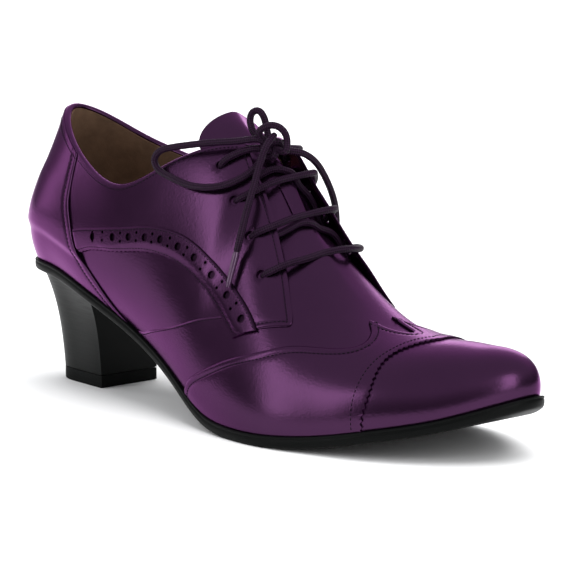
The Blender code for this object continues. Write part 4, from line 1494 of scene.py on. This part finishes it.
AGLETS = {
    "lace_end_near": ("aglet_near", ((112.5, -28.3, 64.2), (113.1, -33.0, 52.5))),
    "lace_end_far": ("aglet_far", ((102.35, 31.75, 63.2), (98.7, 34.2, 50.5))),
}
AGLET_DIAMETER = 2.7 * MM


def tucked_in(route):
    """A route whose two ends run on into the knot."""
    points = np.array(route) * MM
    inside_knot = KNOT + (points[[0, -1]] - KNOT) * 0.35
    return np.vstack([inside_knot[:1], points, inside_knot[1:]])


def make_knot():
    """An overhand knot is a trefoil: one closed curve that goes through itself."""
    turn = np.linspace(0, 2 * np.pi, 60)
    curve = np.stack([np.sin(turn) + 2 * np.sin(2 * turn), np.cos(turn) - 2 * np.cos(2 * turn),
                      -1.5 * np.sin(3 * turn)], 1) * 1.15 * MM
    tilt = Matrix.Rotation(AZIMUTH, 3, "Z") @ Matrix.Rotation(math.radians(75), 3, "X")
    piece, _ = rope("lace_bow_knot", curve @ np.array(tilt).T + KNOT, LACE_DIAMETER, 0.7 * MM)
    join_to_shoe(piece, LACE, "lace", "lace_knot")
    wrap, _ = rope("lace_bow_wrap", tucked_in(ROUTES["lace_wrap"]), LACE_DIAMETER, 0.7 * MM)
    return join_to_shoe(wrap, LACE, "lace", "lace_wrap")


make_knot()


def make_bow():
    for name, route in ROUTES.items():
        if name == "lace_wrap":
            continue
        points = tucked_in(route) if "loop" in name else np.array(route) * MM
        piece, middles = rope(name + "_cord", points, LACE_DIAMETER)
        join_to_shoe(piece, LACE, "lace", name)
        length = float(np.linalg.norm(np.diff(middles, axis=0), axis=1).sum())
        extras, far_end = [], "object"
        if name in AGLETS:
            tip_name, ends = AGLETS[name]
            tip_end = np.array(ends[1]) * MM
            ends = np.linspace(points[-1], tip_end, 8)
            tip, _ = rope(tip_name + "_tip", ends, AGLET_DIAMETER, 1.2 * MM, 0.6)
            join_to_shoe(tip, TIP, "lace", tip_name)
            extras, far_end = [tip], "fitting"
        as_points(middles)
        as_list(extras)
        print(name, "length in mm:", round(length / MM))


make_bow()

# %% [markdown]
# ## Stitch rows on the shoe
# Every row lies beside the seam that it holds. Where the leather has a stitch groove, the
# thread sinks into it, and elsewhere it stands just proud, as thread does on thin leather.

# %% Rows of thread
SUNK = 0.12 * MM
RAISED = 0.02 * MM


def both(places, lift):
    """The same row on both sides of the shoe."""
    return [(places, lift), (inner(places), lift)]


def row_lift(level):
    return level - GROOVE_DEPTH + SUNK


wing_back = evenly(seam(WING_EDGE), 1.0 * MM)
facing = np.vstack([evenly(seam(TAB_BOTTOM, 60), 1.0 * MM)[::-1][:-1],
                    evenly(seam(TAB_CORNER, 20), 0.8 * MM)[::-1][:-1],
                    evenly(seam(FACING_FRONT), 1.0 * MM)[::-1]])
counter_edge = evenly(seam(COUNTER_SEAM), 1.0 * MM)
strap_top = evenly(seam(STRAP_TOP), 1.0 * MM)
strap_low = evenly(seam(STRAP_BOTTOM), 1.0 * MM)
topline_row = np.stack([np.linspace(0.470, 0.195, 120), np.full(120, 0.960)], 1)
counter_top = np.stack([np.linspace(0.185, -0.185, 140), np.full(140, 0.955)], 1)
cap_row = evenly(seam(CAP_SEAM), 1.0 * MM)
side_row = evenly(seam(SIDE_SEAM), 1.0 * MM)


def counter_row_lift(places):
    return row_lift(counter_lift(places))


def strap_row_lift(places):
    return strap_lift(places) + RAISED


counter_side = beside(counter_edge, COUNTER_GROOVE)[3:-3]
strap_rows = both(beside(strap_top[::-1], 1.0 * MM)[2:-4], strap_row_lift)
strap_rows += both(beside(strap_low, 0.8 * MM)[6:-2], strap_row_lift)
topline_rows = both(topline_row, QUARTER_LIFT + RAISED) + [(counter_top, COUNTER_LIFT + 0.35 * MM)]

stitching("stitches_wing", both(beside(wing_back[::-1], WING_GROOVE), row_lift(WING_LIFT)))
stitching("stitches_facing", both(beside(facing, QUARTER_GROOVE)[3:-2], row_lift(QUARTER_LIFT)))
stitching("stitches_counter", [(counter_side, counter_row_lift),
                               (counter_side * (-1, 1), counter_row_lift)])
stitching("stitches_strap", strap_rows)
stitching("stitches_topline", topline_rows)
stitching("stitches_cap", both(cap_row, WING_LIFT + RAISED))
stitching("stitches_side", both(beside(side_row[::-1], 0.9 * MM), VAMP_LIFT + RAISED))

# %% [markdown]
# ## Floor and light
# White paper on the floor and a broad light from above, as on a product table. That light
# is kept out of the leather's shine, which would turn flat. Four soft boxes stand round
# the shoe instead, and the leather mirrors them as bands. The sky is a soft grey so that the leather keeps dark reflections.

# %% Studio
FLOOR_SIZE = 60.0


def make_floor():
    bpy.ops.mesh.primitive_plane_add(size=FLOOR_SIZE, location=(0, 0, 0))
    floor = bpy.context.object
    floor.name = "floor"
    finish = Finish("white paper", (0.92, 0.92, 0.92), 0.9)
    finish.bump(finish.noise(200.0, 2.0), 0.0001, 0.05)
    floor.data.materials.append(finish.material)
    return floor


def lamp(kind, name, place, aim, power, **shape):
    data = bpy.data.lights.new(name, kind)
    data.energy = power
    for setting, value in shape.items():
        setattr(data, setting, value)
    light = bpy.data.objects.new(name, data)
    bpy.context.scene.collection.objects.link(light)
    light.location = place
    light.rotation_euler = (Vector(aim) - Vector(place)).to_track_quat("-Z", "Y").to_euler()
    return light


make_floor()
MIDDLE = (0.09, 0, 0.05)
silk = lamp("SUN", "overhead silk", (0.3, 0.25, 1.3), MIDDLE, 2.85, angle=math.radians(60))
silk.visible_glossy = False
lamp("AREA", "left box", (-0.35, -1.15, 0.50), MIDDLE, 4.2, shape="RECTANGLE", size=0.3, size_y=0.9)
lamp("AREA", "far box", (-1.15, -0.35, 0.45), MIDDLE, 1.3, shape="RECTANGLE", size=0.25, size_y=0.7)
lamp("AREA", "right box", (1.1, -0.25, 0.5), MIDDLE, 4, shape="RECTANGLE", size=0.3, size_y=0.8)
lamp("AREA", "back box", (-0.85, 0.95, 0.42), MIDDLE, 2.8, shape="RECTANGLE", size=1.1, size_y=0.4)

world = bpy.data.worlds.new("studio")
world.use_nodes = True
sky = world.node_tree
direction = sky.nodes.new("ShaderNodeTexCoord")
height = sky.nodes.new("ShaderNodeSeparateXYZ")
tone = sky.nodes.new("ShaderNodeValToRGB")
Finish.set_stops(tone.color_ramp, (
    (0.0, (0.12, 0.12, 0.13)), (0.30, (0.35, 0.35, 0.36)), (0.62, (0.85, 0.86, 0.88))))
sky.links.new(direction.outputs["Generated"], height.inputs[0])
sky.links.new(height.outputs["Z"], tone.inputs[0])
sky.links.new(tone.outputs["Color"], sky.nodes["Background"].inputs["Color"])
bpy.context.scene.world = world
bpy.context.scene.view_settings.view_transform = "Standard"
